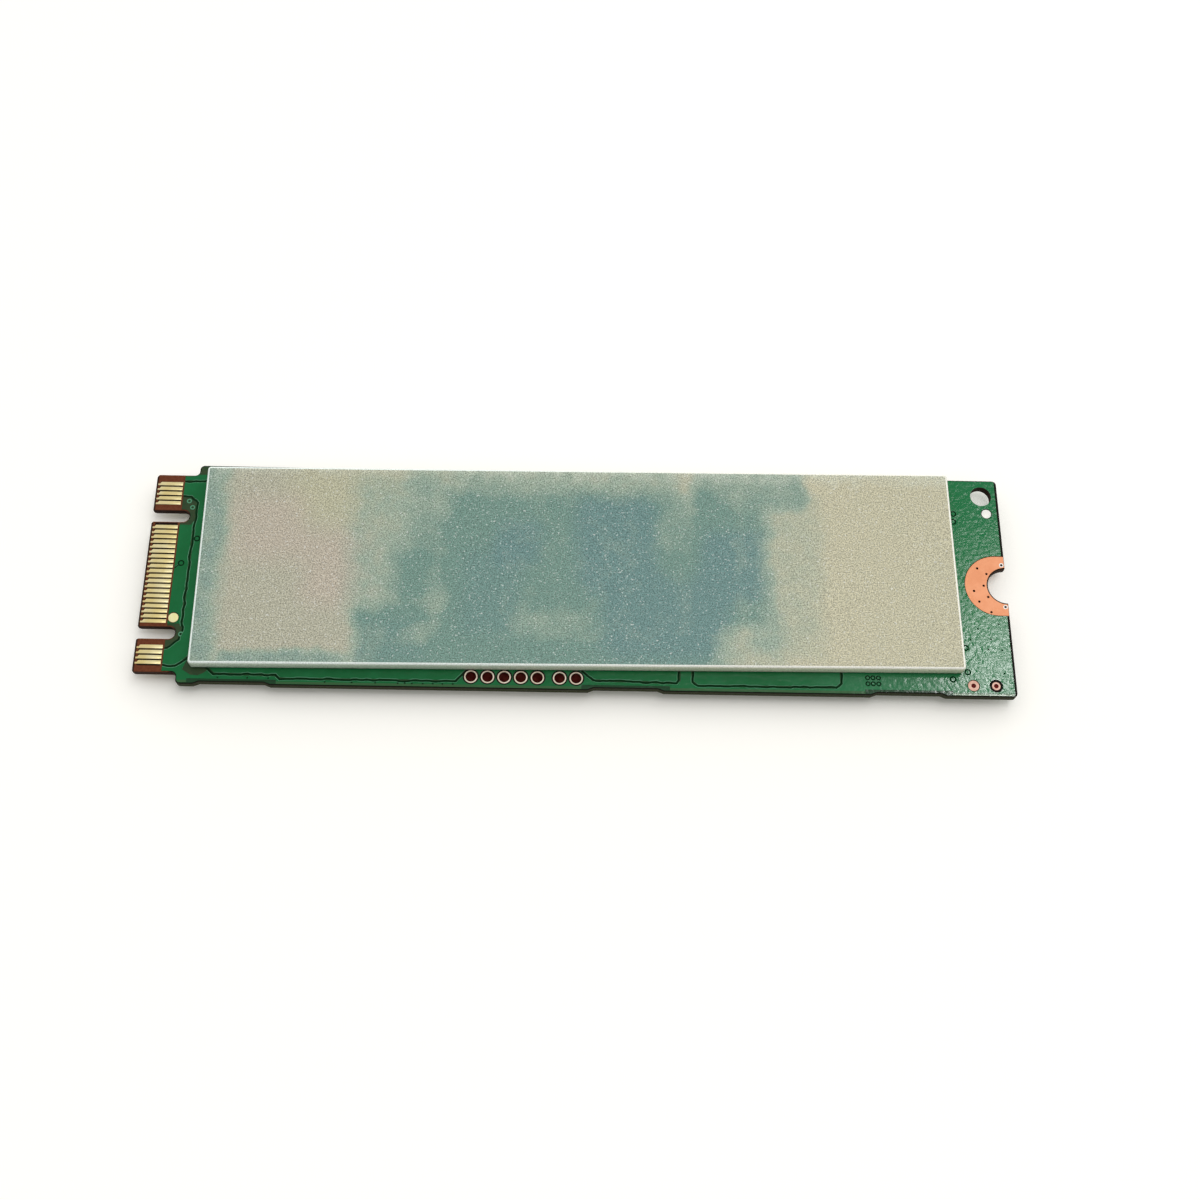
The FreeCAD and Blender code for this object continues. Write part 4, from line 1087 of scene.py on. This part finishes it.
for node, name, finishName, slotName, rounding, segments in smallParts:
    work = cadCopy(node)
    softenEdges(work, rounding, segments)
    makePiece(name, work, [finishes[finishName]], slotName, node)
print("pieces ready")


# floor, light and camera
stagePlan = {
    "floorColour": (1.0, 0.985, 0.940),
    "floorBounce": (0.58, 0.58, 0.54),
    "floorGlow": (1.0, 0.96, 0.82),
    "floorLift": 0.09,
    "farLift": 0.6,
    "farFrom": 0.15,
    "floorDrop": 0.02,
    "floorHalf": 0.36,
    "worldDiffuse": 0.74,
    "worldGlossy": 0.29,
    "worldLean": (0.28, 0.90, 0.0),
    # name, direction to the lamp, distance, size, power in watts
    "lamps": [
        ("keyBox", (0.12, 0.02, 0.99), 0.65, 0.30, 0.92),
        ("sparkLow", (0.335, 0.315, 0.89), 0.62, 0.035, 0.128),
        ("sparkHigh", (0.330, 0.385, 0.86), 0.62, 0.035, 0.031),
    ],
}


def makeFloor():
    work = bmesh.new()
    bmesh.ops.create_grid(work, x_segments=1, y_segments=1, size=stagePlan["floorHalf"],
                          matrix=Matrix.Translation((0, 0, -stagePlan["floorDrop"] * mm)))
    floor = looseObject("floor", work)
    finish, tree, shader, where = newFinish("paleFloor", roughness=0.9, specular=0.0)
    onCamera = put(tree, "ShaderNodeLightPath").outputs["Is Camera Ray"]
    tone = mixColour(tree, onCamera, stagePlan["floorBounce"], stagePlan["floorColour"])
    wire(tree, shader, tone)
    # the floor fades to white far from the card
    away = put(tree, "ShaderNodeVectorMath", {0: where}, operation="LENGTH").outputs["Value"]
    lift = ramp(tree, away, stagePlan["farFrom"], stagePlan["floorHalf"],
                stagePlan["floorLift"], stagePlan["farLift"])
    seen = sums(tree, "MULTIPLY", onCamera, lift)
    shader.inputs["Emission Color"].default_value = (*stagePlan["floorGlow"], 1)
    tree.links.new(seen, shader.inputs["Emission Strength"])
    floor.data.materials.append(finish)


def makeWorld():
    world = bpy.data.worlds.new("studio")
    bpy.context.scene.world = world
    world.use_nodes = True
    tree = world.node_tree
    path = put(tree, "ShaderNodeLightPath")
    mirrored = sums(tree, "MAXIMUM", path.outputs["Is Glossy Ray"], path.outputs["Is Transmission Ray"])
    way = put(tree, "ShaderNodeTexCoord").outputs["Generated"]
    lean = put(tree, "ShaderNodeVectorMath", {0: way, 1: stagePlan["worldLean"]},
               operation="DOT_PRODUCT").outputs["Value"]
    soft = sums(tree, "MULTIPLY", sums(tree, "ADD", lean, 1.0), stagePlan["worldDiffuse"])
    strength = put(tree, "ShaderNodeMix", {0: mirrored, 2: soft, 3: stagePlan["worldGlossy"]},
                   data_type="FLOAT").outputs[0]
    background = tree.nodes["Background"]
    shown = sums(tree, "MAXIMUM", strength, path.outputs["Is Camera Ray"])
    tree.links.new(shown, background.inputs["Strength"])
    background.inputs["Color"].default_value = (1, 1, 1, 1)


def makeLamps():
    for name, way, distance, size, watts in stagePlan["lamps"]:
        lamp = bpy.data.lights.new(name, "AREA")
        lamp.shape = "DISK"
        lamp.size = size
        lamp.energy = watts
        box = addObject(name, lamp)
        box.location = Vector(way).normalized() * distance
        box.rotation_euler = Vector(way).to_track_quat("Z", "Y").to_euler()


# camera found from the card's own corners and holes in the photograph
cameraPlan = {
    "azimuth": -3.484,
    "elevation": 66.862,
    "roll": 4.237,
    "place": (-1.400, -58.420, 133.940),
    "focalPixels": 1554.674,
    "framePixels": 1200,
}


def makeCamera():
    turn = math.radians(cameraPlan["azimuth"])
    rise = math.radians(cameraPlan["elevation"])
    roll = math.radians(cameraPlan["roll"])
    back = Vector((math.sin(turn) * math.cos(rise), -math.cos(turn) * math.cos(rise), math.sin(rise)))
    right = Vector((math.cos(turn), math.sin(turn), 0))
    up = back.cross(right)
    across = math.cos(roll) * right + math.sin(roll) * up
    upward = -math.sin(roll) * right + math.cos(roll) * up
    lens = bpy.data.cameras.new("photoCamera")
    lens.sensor_width = 36.0
    lens.lens = lens.sensor_width * cameraPlan["focalPixels"] / cameraPlan["framePixels"]
    lens.clip_start = 0.005
    camera = addObject("photoCamera", lens)
    turned = Matrix((across, upward, back)).transposed().to_4x4()
    camera.matrix_world = Matrix.Translation(Vector(cameraPlan["place"]) * mm) @ turned
    bpy.context.scene.camera = camera


makeFloor()
makeWorld()
makeLamps()
makeCamera()
bpy.context.scene.view_settings.view_transform = "Standard"
print("stage ready")
